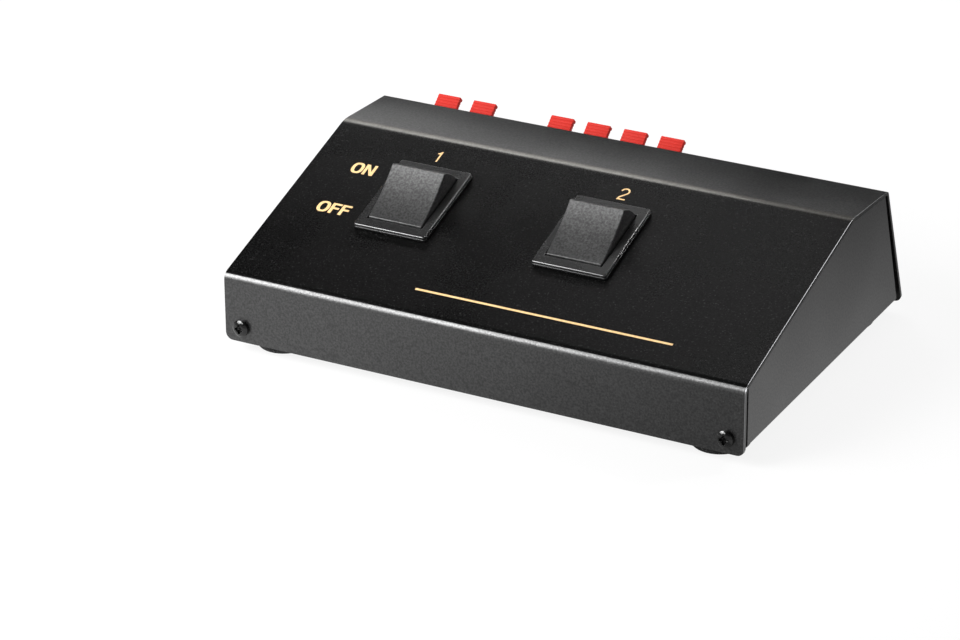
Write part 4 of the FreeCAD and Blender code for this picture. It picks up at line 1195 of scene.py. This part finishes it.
def buildFloor(s):
    # a square sheet: two parameters running from one edge to the other
    u = np.linspace(-0.5, 0.5, s["floorCells"] + 1) * s["floorSize"]
    x, y = np.meshgrid(u, u, indexing="ij")
    points = np.stack([x, y, np.zeros_like(x)], axis=-1)
    mesh = bpy.data.meshes.new("floor")
    mesh.from_pydata(points.reshape(-1, 3).tolist(), [], floorFaces(len(u)))
    mat = bpy.data.materials.new("floorPaper")
    mat.use_nodes = True
    t = Tree(mat.node_tree)
    mat.node_tree.nodes.clear()
    out = t.add("ShaderNodeOutputMaterial")
    matt = t.add("ShaderNodeBsdfDiffuse")
    white = s["floorWhite"]
    matt.inputs["Color"].default_value = (white, white, white, 1)
    glow = t.add("ShaderNodeEmission")
    path = t.add("ShaderNodeLightPath")
    split = t.add("ShaderNodeSeparateXYZ")
    t.join(t.add("ShaderNodeTexCoord").outputs["Object"], split.inputs[0])
    x, y = split.outputs["X"], split.outputs["Y"]
    # in reflections the floor is a pale card at the left, dim before the case, and pale at its right
    left, dim, near, far = s["mirrorLevels"]
    beside = t.math("MULTIPLY", t.ramp(x, *s["rightFrom"]), t.ramp(x, *s["rightTo"], near, far))
    start, end, share = s["besideEnd"]
    beside = t.math("MULTIPLY", beside, t.ramp(y, start, end, 1.0, share, smooth=False))
    start, end, share = s["behindEnd"]
    beside = t.math("MULTIPLY", beside, t.ramp(y, start, end, 1.0, share))
    start, end, share = s["beforeEnd"]
    before = t.math("MULTIPLY", t.ramp(x, *s["across"], left, dim), t.ramp(y, start, end, 1.0, share))
    card = t.math("MAXIMUM", before, beside)
    mirrored = t.math("MAXIMUM", path.outputs["Is Glossy Ray"], path.outputs["Is Transmission Ray"])
    t.join(t.mix(mirrored, (1, 1, 1, 1), card), glow.inputs["Color"])
    away = t.math("SQRT", t.math("ADD", t.math("MULTIPLY", x, x), t.math("MULTIPLY", y, y)))
    white = t.ramp(away, *s["floorFade"], s["floorShow"], 1.0)
    seen = t.math("MULTIPLY", path.outputs["Is Camera Ray"], white)
    share = t.math("MAXIMUM", seen, mirrored)
    mixed = t.add("ShaderNodeMixShader")
    t.join(share, mixed.inputs[0])
    t.join(matt.outputs[0], mixed.inputs[1])
    t.join(glow.outputs[0], mixed.inputs[2])
    t.join(mixed.outputs[0], out.inputs["Surface"])
    mesh.materials.append(mat)
    floor = bpy.data.objects.new("floor", mesh)
    bpy.context.scene.collection.objects.link(floor)


def buildWorld(s):
    # white round the horizon, falling to a dim ceiling overhead
    world = bpy.data.worlds.new("studio")
    bpy.context.scene.world = world
    world.use_nodes = True
    t = Tree(world.node_tree)
    back = world.node_tree.nodes["Background"]
    split = t.add("ShaderNodeSeparateXYZ")
    t.join(t.add("ShaderNodeTexCoord").outputs["Generated"], split.inputs[0])
    level = t.ramp(split.outputs["Z"], *s["band"], s["horizon"], s["overhead"])
    start, end, share = s["behind"]
    level = t.math("MULTIPLY", level, t.ramp(split.outputs["Y"], start, end, 1.0, share))
    seen = t.add("ShaderNodeLightPath").outputs["Is Camera Ray"]
    t.join(t.math("MAXIMUM", level, seen), back.inputs["Strength"])
    back.inputs["Color"].default_value = (1, 1, 1, 1)


lamps = {
    "key": {
        "azimuth": -42.0,
        "elevation": 37.5,
        "distance": 0.6,
        "size": (0.32, 0.40),
        "power": 4.8,
        "aim": (-0.045, -0.05, 0.02),
    },
    "strip": {
        "azimuth": -42.0,
        "elevation": 34.0,
        "distance": 0.6,
        "size": (0.6, 0.12),
        "power": 2.8,
        "aim": (0.02, -0.05, 0.02),
    },
    "rim": {
        "azimuth": -144.4,
        "elevation": 42.0,
        "distance": 0.45,
        "face": (180.0, 48.0),
        "size": (0.29, 0.08),
        "power": 0.72,
        "aim": (-0.071, 0.015, 0.048),
    },
    "sheen": {
        "azimuth": -133.0,
        "elevation": 55.0,
        "distance": 0.6,
        "size": (0.32, 0.21),
        "power": 0.55,
        "aim": (0.20, 0.0, 0.03),
    },
    "fill": {
        "azimuth": 78.0,
        "elevation": 25.0,
        "distance": 0.9,
        "size": (0.5, 0.5),
        "power": 0.3,
        "aim": (0.05, 0.0, 0.02),
    },
    "kicker": {
        "azimuth": 126.0,
        "elevation": 36.0,
        "distance": 0.7,
        "size": (0.09, 0.09),
        "power": 1.35,
        "aim": (0.0, 0.0, 0.03),
    },
    "back": {
        "azimuth": 165.0,
        "elevation": 45.0,
        "distance": 0.8,
        "size": (0.4, 0.4),
        "power": 0.8,
        "aim": (0.0, 0.02, 0.03),
    },
    "rear": {
        "azimuth": 169.0,
        "elevation": 15.0,
        "distance": 0.9,
        "size": (0.34, 0.3),
        "power": 1.9,
        "aim": (0.0, 0.05, 0.02),
    },
}


def addLamp(name, s):
    # a flat softbox on a sphere round its aim, facing it or the way it is told to
    a, e = math.radians(s["azimuth"]), math.radians(s["elevation"])
    arrow = np.array([math.sin(a) * math.cos(e), -math.cos(a) * math.cos(e), math.sin(e)])
    light = bpy.data.lights.new(name, "AREA")
    light.shape = "RECTANGLE"
    light.size, light.size_y = s["size"]
    light.energy = s["power"]
    lamp = bpy.data.objects.new(name, light)
    lamp.location = arrow * s["distance"] + np.array(s["aim"])
    turn, dip = s.get("face", (s["azimuth"], s["elevation"]))
    lamp.rotation_euler = (math.radians(90 - dip), 0, math.radians(turn))
    bpy.context.scene.collection.objects.link(lamp)


view = {
    "place": (0.5250, -0.9482, 0.5475),
    "turn": (63.303, 2.152, 29.419),
    "lens": 144.32,
}
buildFloor(studio)
buildWorld(studio)
for name, settings in lamps.items():
    addLamp(name, settings)

camera = bpy.data.objects.new("camera", bpy.data.cameras.new("camera"))
camera.data.lens = view["lens"]
camera.data.clip_end = 50
camera.location = view["place"]
camera.rotation_euler = [math.radians(a) for a in view["turn"]]
bpy.context.scene.collection.objects.link(camera)
bpy.context.scene.camera = camera
bpy.context.scene.view_settings.view_transform = "Standard"
print("studio set")
